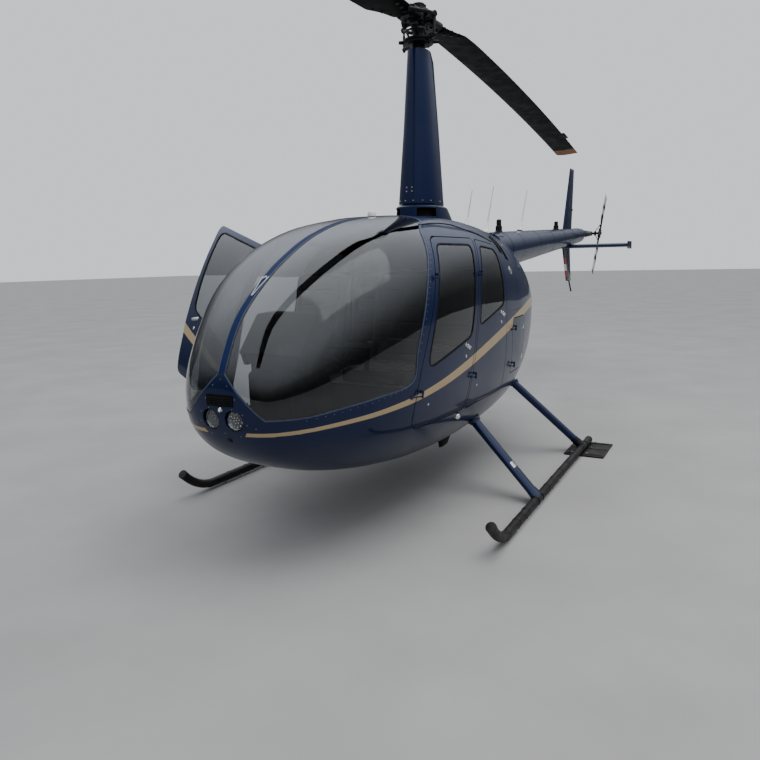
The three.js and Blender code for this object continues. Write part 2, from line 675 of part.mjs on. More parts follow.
add('swashplate', union(
  bar(at(0, 0, plate.z - plate.half), at(0, 0, plate.z + plate.half), plate.radius, 20),
  ...links,
).subtract(bar(at(0, 0, plate.z - 60), at(0, 0, plate.z + 60), mastRadius + GAP, 16)), finish.black(), rotor);

// Tail
function finRings(rows) {
  return rows.map((row) => bladeRing(
    { fore: row.front, aft: row.rear, thick: row.thick, wing: 1 },
    (fore, up) => at(fore, up, row.z),
  ));
}
function stabilizer(grow) {
  const rings = [-1, 1].map((side) => bladeRing(
    { fore: STABILIZER.front + grow, aft: STABILIZER.rear - grow, thick: STABILIZER.thick + 2 * grow, wing: 1 },
    (fore, up) => at(fore, side * STABILIZER.span, STABILIZER.z + up),
  ));
  return loft(rings);
}
const coneCut = buildCone(GAP);
add('tail_cone', TAIL_CONE, finish.paint());
add('upper_fin', loft(finRings(UPPER_FIN)).subtract(coneCut), finish.paint());
const endPlates = [1, -1].map((side) => box(
  STABILIZER.rear - 12, STABILIZER.front + 12,
  side * STABILIZER.span - 5, side * STABILIZER.span + 5,
  STABILIZER.z - STABILIZER.plate, STABILIZER.z + STABILIZER.plate,
));
const tailplane = union(stabilizer(0), ...endPlates);
add('tail_stabilizer', tailplane.subtract(coneCut), finish.paint());
const lowerFin = biggest(loft(finRings(LOWER_FIN)).subtract(coneCut).subtract(stabilizer(1)));
add('lower_fin', lowerFin.add(bar(at(-5060, 0, 1330), at(-5235, 0, 1150), 11, 8)), finish.paint());
add('tail_gearbox', union(
  bar(at(CONE.aft - GAP - 0.3, 0, CONE.aftZ), at(CONE.aft - 24, 0, CONE.aftZ), 96, 12),
  bar(at(CONE.aft - 20, 0, CONE.aftZ), at(-5780, 0, TAIL_ROTOR.z - 8), 86, 12, 70),
  bar(at(-5770, 0, TAIL_ROTOR.z - 8), at(-5950, 0, TAIL_ROTOR.z), 70, 12, 52),
  bar(at(TAIL_ROTOR.x, 0, TAIL_ROTOR.z), at(TAIL_ROTOR.x, 150, TAIL_ROTOR.z), 46, 12, 34),
), finish.metal());

const tailRotor = new THREE.Group();
tailRotor.position.set(TAIL_ROTOR.x, TAIL_ROTOR.y, TAIL_ROTOR.z);
tailRotor.rotation.y = -THREE.MathUtils.degToRad(90 - TAIL_ROTOR.heading);
helicopter.add(tailRotor);
add('tail_rotor_hub', union(
  bar(at(0, 150 + GAP - TAIL_ROTOR.y, 0), at(0, 30, 0), 17, 12),
  box(-28, 28, -20, 20, -75 + GAP, 75 - GAP),
), finish.metal(), tailRotor);
for (const [name, turn, material] of [['tail_blade_upper', 0, finish.black()], ['tail_blade_lower', Math.PI, finish.white()]]) {
  const rings = TAIL_BLADE.map((row) => bladeRing(row, (fore, up) => at(-fore, up, row.r)));
  add(name, loft(rings), material, tailRotor).rotation.y = turn;
}

// Skids on their faired struts
function tube(points, radius, sides) {
  return loft(points.map((point, i) => {
    const before = points[Math.max(0, i - 1)];
    const after = points[Math.min(points.length - 1, i + 1)];
    const along = after.clone().sub(before).normalize();
    const sideways = at(0, 1, 0);
    const upwards = along.clone().cross(sideways).negate();
    const ring = [];
    for (let k = 0; k < sides; k += 1) {
      const angle = (k / sides) * 2 * Math.PI;
      ring.push(point.clone().addScaledVector(sideways, Math.sin(angle) * radius).addScaledVector(upwards, Math.cos(angle) * radius));
    }
    return ring;
  }));
}

function skidPath(y) {
  const points = [at(SKID.front, y, SKID.tip)];
  const turnSteps = 5;
  for (let i = 1; i <= turnSteps; i += 1) {
    const t = 1 - i / turnSteps;
    const x = SKID.bend + (SKID.front - SKID.bend) * t;
    points.push(at(x, y, SKID.height + (SKID.tip - SKID.height) * t ** 2.2));
  }
  points.push(at(SKID.aft, y, SKID.height));
  return points;
}

for (const [side, hand] of [[1, 'left'], [-1, 'right']]) {
  const y = side * SKID.track / 2;
  const rail = tube(skidPath(y), SKID.radius, 12);
  const shoe = box(130, 1130, y - 20, y + 20, 0, 30);
  const pad = box(-1090, -640, side > 0 ? 1000 : -1320, side > 0 ? 1320 : -1000, 0, PAD_TOP);
  const saddle = box(-1090, -640, y - SKID.radius - 2, y + SKID.radius + 2, 0, SKID.height);
  add(`${hand}_skid`, union(rail, shoe, pad, saddle), finish.black());
  const railCut = tube(skidPath(y), SKID.radius + GAP, 12).add(
    box(-1090 - GAP, -640 + GAP, y - SKID.radius - 2 - GAP, y + SKID.radius + 2 + GAP, 0, SKID.height + GAP),
  );
  for (const strut of STRUTS) {
    const foot = at(strut.foot[0], y, strut.foot[1]);
    const top = at(strut.top[0], side * STRUT.topY, strut.top[1]);
    const beyond = top.clone().sub(foot).multiplyScalar(1.16).add(foot);
    const rings = [foot, beyond].map((point) => bladeRing(
      { fore: 0.4 * STRUT.chord, aft: -0.6 * STRUT.chord, thick: STRUT.thick, wing: 0.8 },
      (fore, up) => at(point.x + fore, point.y + up * side, point.z + up * 0.8),
    ));
    const body = loft(rings).subtract(CLEARANCE).subtract(railCut);
    add(`${strut.name}_${hand}_strut`, biggest(body), finish.paint());
  }
}

export default helicopter;
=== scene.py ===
"""A light cabin helicopter on skids, parked with its right front door open.

Metres, +X forward, +Y to the aircraft's left, +Z up, ground at Z = 0. Stations are
measured forward of the main rotor's axis, which stands MAST in front of the origin.
"""

import math

import bmesh
import bpy
import numpy as np
from mathutils import Matrix, Vector
from mathutils.bvhtree import BVHTree
from mathutils.interpolate import poly_3d_calc


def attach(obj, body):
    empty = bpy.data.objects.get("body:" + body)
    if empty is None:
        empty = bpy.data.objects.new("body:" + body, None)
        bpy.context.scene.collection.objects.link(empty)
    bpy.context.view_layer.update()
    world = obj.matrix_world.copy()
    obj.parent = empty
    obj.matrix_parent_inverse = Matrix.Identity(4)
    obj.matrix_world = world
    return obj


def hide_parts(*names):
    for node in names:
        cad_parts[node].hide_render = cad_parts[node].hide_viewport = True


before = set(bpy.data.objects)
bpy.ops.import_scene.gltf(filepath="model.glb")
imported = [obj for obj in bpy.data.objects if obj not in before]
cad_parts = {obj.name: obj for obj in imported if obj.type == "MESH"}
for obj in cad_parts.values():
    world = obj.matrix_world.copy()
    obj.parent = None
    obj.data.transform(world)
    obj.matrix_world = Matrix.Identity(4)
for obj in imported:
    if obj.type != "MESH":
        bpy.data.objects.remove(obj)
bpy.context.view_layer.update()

MAST = 0.66
GLASS_WALL = 0.004
DOOR_GAP = 0.003
SILL_DROP = 0.006
OPEN_ANGLE = math.radians(75)
FULL_TURN = 2 * math.pi
SIDES = ((1, "left"), (-1, "right"))
ORIGIN, X_AXIS, Y_AXIS, Z_AXIS = (0, 0, 0), (1, 0, 0), (0, 1, 0), (0, 0, 1)


def at(station, across, height):
    """A point given by its station, its distance to the left and its height."""
    return Vector((station + MAST, across, height))


# Camera at the photograph's viewing point
CAMERA_PLACE, YAW_PITCH_ROLL, FOCAL_LENGTH = (4.878, 2.249, 1.608), (208.36, -9.83, -1.17), 31.98


def set_camera():
    yaw, pitch, roll = (math.radians(angle) for angle in YAW_PITCH_ROLL)
    ahead = Vector((math.cos(yaw) * math.cos(pitch), math.sin(yaw) * math.cos(pitch), math.sin(pitch)))
    level = Vector((math.sin(yaw), -math.cos(yaw), 0))
    above = level.cross(ahead)
    right = math.cos(roll) * level + math.sin(roll) * above
    up = math.cos(roll) * above - math.sin(roll) * level
    data = bpy.data.cameras.new("camera")
    data.sensor_width = 36
    data.lens = FOCAL_LENGTH
    data.clip_end = 200
    camera = bpy.data.objects.new("camera", data)
    turn = Matrix((right, up, -ahead)).transposed().to_4x4()
    camera.matrix_world = Matrix.Translation(at(*CAMERA_PLACE)) @ turn
    bpy.context.scene.collection.objects.link(camera)
    bpy.context.scene.camera = camera


set_camera()


# Materials
def new_look(name):
    look = bpy.data.materials.new(name)
    look.use_nodes = True
    tree = look.node_tree
    where = tree.nodes.new("ShaderNodeTexCoord").outputs["Object"]
    return look, tree, tree.nodes["Principled BSDF"], where


def settle(node, **values):
    """Sets a node's own sockets; an underscore stands for the space in a socket's name."""
    for name, value in values.items():
        node.inputs[name.replace("_", " ")].default_value = value


def noise(tree, where, scale, detail=4.0, roughness=0.55):
    node = tree.nodes.new("ShaderNodeTexNoise")
    settle(node, Scale=scale, Detail=detail, Roughness=roughness)
    tree.links.new(where, node.inputs["Vector"])
    return node.outputs["Fac"]


def cells(tree, where, scale):
    node = tree.nodes.new("ShaderNodeTexVoronoi")
    settle(node, Scale=scale)
    tree.links.new(where, node.inputs["Vector"])
    return node.outputs["Distance"]


def spread(tree, value, low, high, to_low=0.0, to_high=1.0):
    node = tree.nodes.new("ShaderNodeMapRange")
    settle(node, From_Min=low, From_Max=high, To_Min=to_low, To_Max=to_high)
    tree.links.new(value, node.inputs["Value"])
    return node.outputs["Result"]


def blend_colours(tree, share, first, second):
    node = tree.nodes.new("ShaderNodeMix")
    node.data_type = "RGBA"
    tree.links.new(share, node.inputs["Factor"])
    for socket, colour in ((node.inputs[6], first), (node.inputs[7], second)):
        if isinstance(colour, tuple):
            socket.default_value = (*colour, 1)
        else:
            tree.links.new(colour, socket)
    return node.outputs[2]


def add_bump(tree, shader, height, strength, distance):
    node = tree.nodes.new("ShaderNodeBump")
    settle(node, Strength=strength, Distance=distance)
    tree.links.new(height, node.inputs["Height"])
    tree.links.new(node.outputs["Normal"], shader.inputs["Normal"])


def height_of(tree, where):
    node = tree.nodes.new("ShaderNodeSeparateXYZ")
    tree.links.new(where, node.inputs["Vector"])
    return node.outputs["Z"]


def product(tree, first, second):
    node = tree.nodes.new("ShaderNodeMath")
    node.operation = "MULTIPLY"
    tree.links.new(first, node.inputs[0])
    tree.links.new(second, node.inputs[1])
    return node.outputs["Value"]


def painted(
    name, colour, light, roughness=0.3, metallic=0.3, coat_index=1.4, dust_colour=(0.09, 0.085, 0.08), coat=0.55,
):
    """Gloss paint with a clear coat, fine flake, and dust that settles low down."""
    look, tree, shader, where = new_look(name)
    flake = blend_colours(tree, noise(tree, where, 900, 2), colour, light)
    dust = product(
        tree,
        spread(tree, noise(tree, where, 7, 6), 0.45, 0.75),
        spread(tree, height_of(tree, where), 1.0, 0.1, 0.0, 0.35),
    )
    tree.links.new(blend_colours(tree, dust, flake, dust_colour), shader.inputs["Base Color"])
    haze = spread(tree, noise(tree, where, 3, 5), 0.3, 0.8, roughness, roughness + 0.12)
    tree.links.new(haze, shader.inputs["Roughness"])
    settle(shader, Metallic=metallic, Specular_IOR_Level=0.1, Coat_Weight=coat, Coat_IOR=coat_index,
           Coat_Roughness=0.03)
    add_bump(tree, shader, noise(tree, where, 45, 3), 0.05, 0.002)
    return look


def moulded(
    name, colour, light, scale=60, rough=(0.45, 0.7), metallic=0.0, bump=0.15, depth=0.001, grain=400, shine=0.35,
):
    """A solid finish with cloudy wear and a fine grain."""
    look, tree, shader, where = new_look(name)
    clouds = spread(tree, noise(tree, where, scale, 6), 0.35, 0.7)
    tree.links.new(blend_colours(tree, clouds, colour, light), shader.inputs["Base Color"])
    tree.links.new(spread(tree, noise(tree, where, scale * 0.6, 4), 0.3, 0.75, *rough), shader.inputs["Roughness"])
    settle(shader, Metallic=metallic, Specular_IOR_Level=shine)
    add_bump(tree, shader, noise(tree, where, grain, 3), bump, depth)
    return look


def brushed(name, colour, light, rough=(0.22, 0.42)):
    """Worked metal with fine marks and faint stains."""
    look, tree, shader, where = new_look(name)
    lines = noise(tree, where, 160, 5)
    tree.links.new(blend_colours(tree, lines, colour, light), shader.inputs["Base Color"])
    tree.links.new(spread(tree, noise(tree, where, 18, 5), 0.3, 0.75, *rough), shader.inputs["Roughness"])
    settle(shader, Metallic=1.0)
    add_bump(tree, shader, lines, 0.12, 0.0004)
    return look


def tinted_glass(name, colour, shade):
    """Clear acrylic with an even tint, which lets the lamps' light through to what is behind it."""
    look, tree, shader, where = new_look(name)
    settle(shader, Roughness=0.0, Transmission_Weight=1.0, IOR=1.5)
    uneven = blend_colours(tree, noise(tree, where, 2, 2), colour, tuple(0.93 * part for part in colour))
    tree.links.new(uneven, shader.inputs["Base Color"])
    clear = tree.nodes.new("ShaderNodeBsdfTransparent")
    settle(clear, Color=(*shade, 1))
    choice = tree.nodes.new("ShaderNodeMixShader")
    tree.links.new(tree.nodes.new("ShaderNodeLightPath").outputs["Is Shadow Ray"], choice.inputs["Fac"])
    tree.links.new(shader.outputs["BSDF"], choice.inputs[1])
    tree.links.new(clear.outputs["BSDF"], choice.inputs[2])
    tree.links.new(choice.outputs["Shader"], tree.nodes["Material Output"].inputs["Surface"])
    return look


def leather(name, colour, light):
    look, tree, shader, where = new_look(name)
    pores = cells(tree, where, 260)
    clouds = spread(tree, noise(tree, where, 9, 6), 0.3, 0.75)
    tree.links.new(blend_colours(tree, clouds, colour, light), shader.inputs["Base Color"])
    tree.links.new(spread(tree, noise(tree, where, 22, 4), 0.3, 0.8, 0.38, 0.6), shader.inputs["Roughness"])
    settle(shader, Sheen_Weight=0.15)
    add_bump(tree, shader, pores, 0.35, 0.0008)
    return look


def carpeted(name, colour, light):
    look, tree, shader, where = new_look(name)
    pile = noise(tree, where, 420, 4, 0.7)
    tree.links.new(blend_colours(tree, spread(tree, pile, 0.35, 0.65), colour, light), shader.inputs["Base Color"])
    settle(shader, Roughness=0.95, Sheen_Weight=0.4)
    add_bump(tree, shader, pile, 0.8, 0.003)
    return look


def woven(name, colour, light):
    """Webbing with a close diagonal weave."""
    look, tree, shader, where = new_look(name)
    node = tree.nodes.new("ShaderNodeTexWave")
    node.bands_direction = "DIAGONAL"
    settle(node, Scale=160, Distortion=1.5)
    tree.links.new(where, node.inputs["Vector"])
    tree.links.new(blend_colours(tree, node.outputs["Fac"], colour, light), shader.inputs["Base Color"])
    settle(shader, Roughness=0.85)
    add_bump(tree, shader, node.outputs["Fac"], 0.5, 0.0006)
    return look


BLUE = painted("navy_gloss", (0.0022, 0.0065, 0.03), (0.005, 0.0145, 0.06), dust_colour=(0.022, 0.021, 0.022))
GOLD = painted("gold_gloss", (0.36, 0.265, 0.15), (0.45, 0.345, 0.2), 0.42, 0.3, 1.35, (0.24, 0.18, 0.12))
WHITE = painted("white_gloss", (0.62, 0.63, 0.62), (0.7, 0.7, 0.69), 0.35, 0.0)
RED = painted("red_gloss", (0.32, 0.02, 0.015), (0.4, 0.03, 0.02), 0.35, 0.0)
AMBER = moulded("amber_paint", (0.25, 0.1, 0.03), (0.33, 0.14, 0.05), 40, (0.5, 0.7))
BLADE = moulded("blade_enamel", (0.0022, 0.0023, 0.0026), (0.006, 0.0062, 0.0066), 14, (0.4, 0.6), 0.0, 0.2,
                0.0006, 500, 0.04)
PALE_BLADE = moulded("pale_blade_enamel", (0.42, 0.43, 0.44), (0.56, 0.56, 0.55), 14, (0.35, 0.5), 0.1,
                     0.1, 0.0005, 500)
BLACK = moulded("black_enamel", (0.003, 0.003, 0.0034), (0.009, 0.009, 0.0098), 30, (0.3, 0.52), 0.0, 0.15,
                0.0006, 400, 0.2)
SKID_BLACK = moulded("skid_enamel", (0.006, 0.0055, 0.0055), (0.024, 0.02, 0.018), 16, (0.34, 0.62), 0.0, 0.3,
                     0.001, 220, 0.15)
RUBBER = moulded("black_rubber", (0.002, 0.002, 0.002), (0.006, 0.006, 0.006), 50, (0.6, 0.85), shine=0.2)
TRIM = moulded("trim_plastic", (0.007, 0.007, 0.0076), (0.016, 0.016, 0.017), 25, (0.55, 0.8), 0.0, 0.35, 0.0012, 300)
LINING = moulded("cabin_lining", (0.018, 0.0145, 0.0125), (0.034, 0.028, 0.024), 12, (0.7, 0.9), 0.0, 0.3, 0.001, 350)
STEEL = brushed("worked_steel", (0.5, 0.51, 0.53), (0.68, 0.69, 0.7))
CHROME = brushed("chrome", (0.75, 0.76, 0.78), (0.85, 0.85, 0.86), (0.06, 0.16))
HOT_METAL = brushed("exhaust_metal", (0.2, 0.16, 0.13), (0.42, 0.37, 0.33), (0.35, 0.55))
CAST = moulded("cast_alloy", (0.05, 0.05, 0.054), (0.12, 0.12, 0.125), 30, (0.4, 0.6), 0.8, 0.4, 0.002, 150)
GLASS = tinted_glass("grey_acrylic", (0.36, 0.38, 0.4), (0.42, 0.44, 0.46))
CLEAR = tinted_glass("clear_lens", (0.92, 0.94, 0.95), (0.93, 0.94, 0.95))
LEATHER = leather("seat_leather", (0.01, 0.0088, 0.0078), (0.022, 0.019, 0.017))
CARPET = carpeted("cabin_carpet", (0.006, 0.0058, 0.0056), (0.02, 0.019, 0.018))
WEBBING = woven("belt_webbing", (0.02, 0.02, 0.022), (0.07, 0.07, 0.072))
QUILTED = moulded("bulkhead_cloth", (0.01, 0.0098, 0.0098), (0.022, 0.0215, 0.0215), 20, (0.8, 0.95), 0.0,
                  0.5, 0.002, 240)
HOOD = moulded("glare_vinyl", (0.01, 0.0078, 0.0062), (0.02, 0.016, 0.0135), 18, (0.6, 0.8), 0.0, 0.4, 0.0012, 260)
SCREEN = moulded("dark_screen", (0.01, 0.016, 0.014), (0.02, 0.03, 0.027), 30, (0.08, 0.16), 0.0, 0.02, 0.0002, 60)
SILVERED = brushed("silvered", (0.82, 0.83, 0.85), (0.9, 0.9, 0.91), (0.05, 0.12))
LIT = moulded("lamp_bead", (0.85, 0.86, 0.84), (0.95, 0.95, 0.93), 300, (0.05, 0.15), 0.0, 0.05, 0.0002, 900)
# Flat black: the dial faces' own colour, and painted shade inside the nose vent, the louvre recesses and the collar's
# inlets.
MESH = moulded("black_and_painted_shade", (0.002, 0.002, 0.002), (0.006, 0.006, 0.006), 80, (0.5, 0.8), shine=0.1)
# The windshield seal is dark blue-grey; its lighter tone is partly a painted highlight along the glass edge.
SEALANT_AND_HIGHLIGHT = moulded("edge_sealant_and_highlight", (0.022, 0.032, 0.062), (0.045, 0.06, 0.105), 40, (0.35, 0.55), shine=0.5)
DULL = brushed("dulled_steel", (0.16, 0.17, 0.19), (0.3, 0.31, 0.33), (0.3, 0.5))
BLACKENED = brushed("blackened_steel", (0.03, 0.031, 0.034), (0.075, 0.077, 0.082), (0.35, 0.55))
POST_BLUE = painted("post_enamel", (0.003, 0.009, 0.044), (0.006, 0.018, 0.078), roughness=0.55,
                    metallic=0.0, coat=0.0)
LAMP_DISH = brushed("lamp_dish", (0.1, 0.105, 0.11), (0.22, 0.225, 0.23), (0.15, 0.3))


# Making a piece
def finished(name, shape, looks, body, slot, stands_for=(), sharp=35, recalculate=False, place=None):
    """Turns a bmesh, moved to its place, into a piece that rides on a body."""
    if place is not None:
        shape.transform(place)
    if recalculate:
        bmesh.ops.recalc_face_normals(shape, faces=shape.faces)
    mesh = bpy.data.meshes.new(name)
    shape.to_mesh(mesh)
    shape.free()
    for look in looks if isinstance(looks, (list, tuple)) else [looks]:
        mesh.materials.append(look)
    piece = bpy.data.objects.new(name, mesh)
    bpy.context.scene.collection.objects.link(piece)
    smooth_by_angle(mesh, sharp)
    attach(piece, body)
    if stands_for:
        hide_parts(*([stands_for] if isinstance(stands_for, str) else stands_for))
    return piece


def smooth_by_angle(mesh, degrees):
    mesh.shade_smooth()
    mesh.set_sharp_from_angle(angle=math.radians(degrees))


def bake(piece, sharp=35):
    """Puts a piece's modifiers into its mesh."""
    held = bpy.context.evaluated_depsgraph_get()
    mesh = bpy.data.meshes.new_from_object(piece.evaluated_get(held))
    piece.modifiers.clear()
    old = piece.data
    piece.data = mesh
    mesh.name = old.name
    bpy.data.meshes.remove(old)
    smooth_by_angle(mesh, sharp)


def grid_of(place, rows, columns):
    """A sheet of rows by columns whose points are put where place(u, v) says."""
    shape = bmesh.new()
    bmesh.ops.create_grid(shape, x_segments=rows, y_segments=columns, size=1)
    for point in shape.verts:
        u, v = (point.co.x + 1) / 2, (point.co.y + 1) / 2
        point.co = place(min(max(u, 0.0), 1.0), min(max(v, 0.0), 1.0))
    return shape


def closed_grid(place, rows, columns, cap=True):
    """A sheet rolled into a tube: its first and last columns meet, and its ends are filled."""
    shape = grid_of(place, rows, columns)
    bmesh.ops.remove_doubles(shape, verts=shape.verts, dist=1e-5)
    if cap:
        bmesh.ops.holes_fill(shape, edges=[edge for edge in shape.edges if edge.is_boundary], sides=0)
    bmesh.ops.recalc_face_normals(shape, faces=shape.faces)
    return shape


def add_rod(shape, start, end, radius, end_radius=None, sides=16):
    start, end = Vector(start), Vector(end)
    axis = end - start
    turn = axis.to_track_quat("Z", "Y").to_matrix().to_4x4()
    bmesh.ops.create_cone(
        shape, cap_ends=True, segments=sides, radius1=radius, radius2=radius if end_radius is None else end_radius,
        depth=axis.length, matrix=Matrix.Translation((start + end) / 2) @ turn,
    )


def add_ball(shape, centre, radius, sides=16):
    place = Matrix.Translation(centre)
    bmesh.ops.create_uvsphere(shape, u_segments=sides, v_segments=sides // 2, radius=radius, matrix=place)


def add_block(shape, low, high, rounding=0.0, segments=2):
    low, high = Vector(low), Vector(high)
    place = Matrix.Translation((low + high) / 2) @ Matrix.Diagonal((*(high - low), 1))
    made = bmesh.ops.create_cube(shape, size=1, matrix=place)["verts"]
    if rounding:
        edges = list(dict.fromkeys(edge for point in made for edge in point.link_edges))
        bmesh.ops.bevel(
            shape, geom=edges, offset=rounding, segments=segments, profile=0.5, affect="EDGES", material=-1,
        )


def add_turned(shape, profile, centre, direction, sides=32):
    """A turned form: profile rows are (radius, distance along the axis), and a ring's section closes on itself."""
    if profile[0][0]:
        profile = [*profile, profile[0]]
    points = [shape.verts.new((radius, 0, along)) for radius, along in profile]
    edges = [shape.edges.new(pair) for pair in zip(points, points[1:])]
    bmesh.ops.spin(
        shape, geom=points + edges, cent=ORIGIN, axis=Z_AXIS, angle=FULL_TURN, steps=sides, use_merge=True,
    )
    spun = {}
    stack = list(points)
    while stack:
        point = stack.pop()
        if point.is_valid and point not in spun:
            spun[point] = True
            stack.extend(edge.other_vert(point) for edge in point.link_edges)
    place = Matrix.Translation(centre) @ Vector(direction).to_track_quat("Z", "Y").to_matrix().to_4x4()
    bmesh.ops.transform(shape, matrix=place, verts=list(spun))
    bmesh.ops.remove_doubles(shape, verts=list(spun), dist=1e-6)


def add_tube(shape, path, radius, sides=12, samples=8):
    """A round tube on a smooth line through the path's points."""
    line = smooth_line([Vector(point) for point in path], samples)
    frames = []
    side = Vector(Z_AXIS) if abs((line[1] - line[0]).normalized().z) < 0.9 else Vector(Y_AXIS)
    for index, point in enumerate(line):
        along = (line[min(index + 1, len(line) - 1)] - line[max(index - 1, 0)]).normalized()
        side = (side - along * side.dot(along)).normalized()
        frames.append((point, side, along.cross(side)))
    count = len(line) - 1

    def place(u, v):
        point, first, second = frames[round(u * count)]
        angle = FULL_TURN * v
        return point + radius * (math.cos(angle) * first + math.sin(angle) * second)

    join(shape, closed_grid(place, count, sides))


def join(shape, other):
    """Adds another bmesh to this one, and frees it."""
    mesh = bpy.data.meshes.new("joined")
    other.to_mesh(mesh)
    other.free()
    shape.from_mesh(mesh)
    bpy.data.meshes.remove(mesh)


def smooth_line(points, samples):
    """Points along a curve that passes through all the given ones."""
    if len(points) < 3:
        return points
    ends = [2 * points[0] - points[1], *points, 2 * points[-1] - points[-2]]
    line = []
    for a, b, c, d in zip(ends, ends[1:], ends[2:], ends[3:]):
        for step in range(samples):
            t = step / samples
            curve = 2 * b + (c - a) * t + (2 * a - 5 * b + 4 * c - d) * t * t + (3 * b - a - 3 * c + d) * t ** 3
            line.append(0.5 * curve)
    return [*line, points[-1]]


# Fuselage surface
# Station, top, bottom, half width, height of the widest point, squareness above and below
SECTIONS = (
    (-1.930, 1.700, 1.150, 0.090, 1.420, 2.0, 2.0),
    (-1.880, 1.815, 0.959, 0.177, 1.360, 1.7, 2.0),
    (-1.750, 1.850, 0.796, 0.305, 1.300, 1.6, 2.15),
    (-1.500, 1.875, 0.643, 0.444, 1.260, 1.6, 2.4),
    (-1.150, 1.893, 0.529, 0.565, 1.220, 1.75, 2.65),
    (-0.700, 1.909, 0.434, 0.664, 1.170, 2.1, 2.9),
    (-0.250, 1.921, 0.373, 0.719, 1.120, 2.6, 3.1),
    (0.250, 1.930, 0.346, 0.735, 1.080, 3.1, 3.15),
    (0.750, 1.920, 0.336, 0.729, 1.050, 3.3, 3.1),
    (1.150, 1.872, 0.350, 0.714, 1.030, 3.3, 2.95),
    (1.500, 1.780, 0.387, 0.679, 1.010, 3.1, 2.75),
    (1.800, 1.645, 0.445, 0.606, 0.990, 2.8, 2.6),
    (2.050, 1.485, 0.530, 0.491, 0.960, 2.3, 2.5),
    (2.220, 1.330, 0.620, 0.381, 0.940, 2.0, 2.5),
    (2.330, 1.145, 0.734, 0.261, 0.930, 1.9, 2.4),
    (2.370, 1.050, 0.829, 0.170, 0.940, 1.9, 2.3),
    (2.385, 1.000, 0.900, 0.060, 0.950, 2.0, 2.2),
)
NOSE, STERN = 2.388, -1.933


def section(station):
    """The section table at a station, by cubics that never overshoot a row."""
    stations = [row[0] for row in SECTIONS]
    station = min(max(station, stations[0]), stations[-1])
    row = min(max(i for i, x in enumerate(stations) if x <= station), len(stations) - 2)
    step = stations[row + 1] - stations[row]
    t = (station - stations[row]) / step
    weights = ((1 + 2 * t) * (1 - t) ** 2, t * (1 - t) ** 2, t * t * (3 - 2 * t), t * t * (t - 1))
    values = []
    for column in range(1, 7):
        slopes = [
            (after[column] - before[column]) / (after[0] - before[0]) for before, after in zip(SECTIONS, SECTIONS[1:])
        ]
        ends = []
        for i in (row, row + 1):
            if i in (0, len(SECTIONS) - 1):
                ends.append(slopes[0] if i == 0 else slopes[-1])
            else:
                both = slopes[i - 1] * slopes[i]
                ends.append(0 if both <= 0 else 2 * both / (slopes[i - 1] + slopes[i]))
        values.append(
            weights[0] * SECTIONS[row][column] + weights[1] * step * ends[0]
            + weights[2] * SECTIONS[row + 1][column] + weights[3] * step * ends[1]
        )
    return values


def ring_point(station, row, angle):
    """The skin's point at an angle from straight up, towards the left."""
    top, bottom, half, waist, upper, lower = row
    across, along = math.sin(angle), math.cos(angle)
    power = upper if along > 0 else lower
    height = top - waist if along > 0 else waist - bottom
    reach = ((abs(across) / half) ** power + (abs(along) / height) ** power) ** (-1 / power)
    return at(station, across * reach, waist + along * reach)


def skin_y(station, height):
    """Half width of the skin at a station and height."""
    top, bottom, half, waist, upper, lower = section(station)
    power = upper if height > waist else lower
    reach = top - waist if height > waist else waist - bottom
    return half * (1 - min(1, abs(height - waist) / reach) ** power) ** (1 / power)


def skin_z(station, across, above=True):
    """Height of the skin's top or underside at a station and distance from the middle."""
    top, bottom, half, waist, upper, lower = section(station)
    power, reach = (upper, top - waist) if above else (lower, bottom - waist)
    return waist + reach * (1 - min(1, abs(across) / half) ** power) ** (1 / power)


def skin_point(station, height, side=1):
    return at(station, side * skin_y(station, height), height)


def skin_normal(point):
    """Outward direction of the skin near a point."""
    def level(x, y, z):
        top, bottom, half, waist, upper, lower = section(x - MAST)
        power, reach = (upper, top - waist) if z > waist else (lower, waist - bottom)
        return (abs(y) / half) ** power + (abs(z - waist) / reach) ** power

    step = 0.002
    x, y, z = point
    slope = Vector((
        level(x + step, y, z) - level(x - step, y, z),
        level(x, y + step, z) - level(x, y - step, z),
        level(x, y, z + step) - level(x, y, z - step),
    ))
    return slope.normalized()


STATIONS_ALONG, POINTS_ROUND = 190, 152


def make_skin():
    """The whole fuselage as one fine closed sheet."""
    middle, reach = (NOSE + STERN) / 2, (NOSE - STERN) / 2
    rows = {}

    def place(u, v):
        swing = math.pi * u
        station = middle - reach * (0.55 * math.cos(swing) + 0.45 * (1 - 2 * u))
        key = round(u * STATIONS_ALONG)
        if key not in rows:
            rows[key] = section(station)
        point = ring_point(station, rows[key], FULL_TURN * v)
        closing = min(1, max(0, (NOSE - station) / 0.003), max(0, (station - STERN) / 0.003)) ** 0.5
        centre = Vector((point.x, 0, 0.95 if station > 0 else 1.42))
        return centre + (point - centre) * closing

    return closed_grid(place, STATIONS_ALONG, POINTS_ROUND, cap=False)


SKIN = make_skin()
EVENING_ROUNDS = 14


def even_directions():
    """The skin's normals with their small waves averaged out, and a tree that finds the face at a point."""
    SKIN.verts.ensure_lookup_table()
    SKIN.verts.index_update()
    SKIN.normal_update()
    directions = np.array([point.normal for point in SKIN.verts])
    pairs = np.array([[point.index for point in edge.verts] for edge in SKIN.edges])
    for _ in range(EVENING_ROUNDS):
        around = directions.copy()
        np.add.at(around, pairs[:, 0], directions[pairs[:, 1]])
        np.add.at(around, pairs[:, 1], directions[pairs[:, 0]])
        directions = around / np.linalg.norm(around, axis=1, keepdims=True)
    return directions, BVHTree.FromBMesh(SKIN)


EVEN, SKIN_TREE = even_directions()


def even_normal(point):
    place, _, number, _ = SKIN_TREE.find_nearest(point)
    corners = SKIN.faces[number].verts
    shares = poly_3d_calc([corner.co for corner in corners], place)
    return sum((Vector(EVEN[corner.index]) * share for corner, share in zip(corners, shares)), Vector()).normalized()


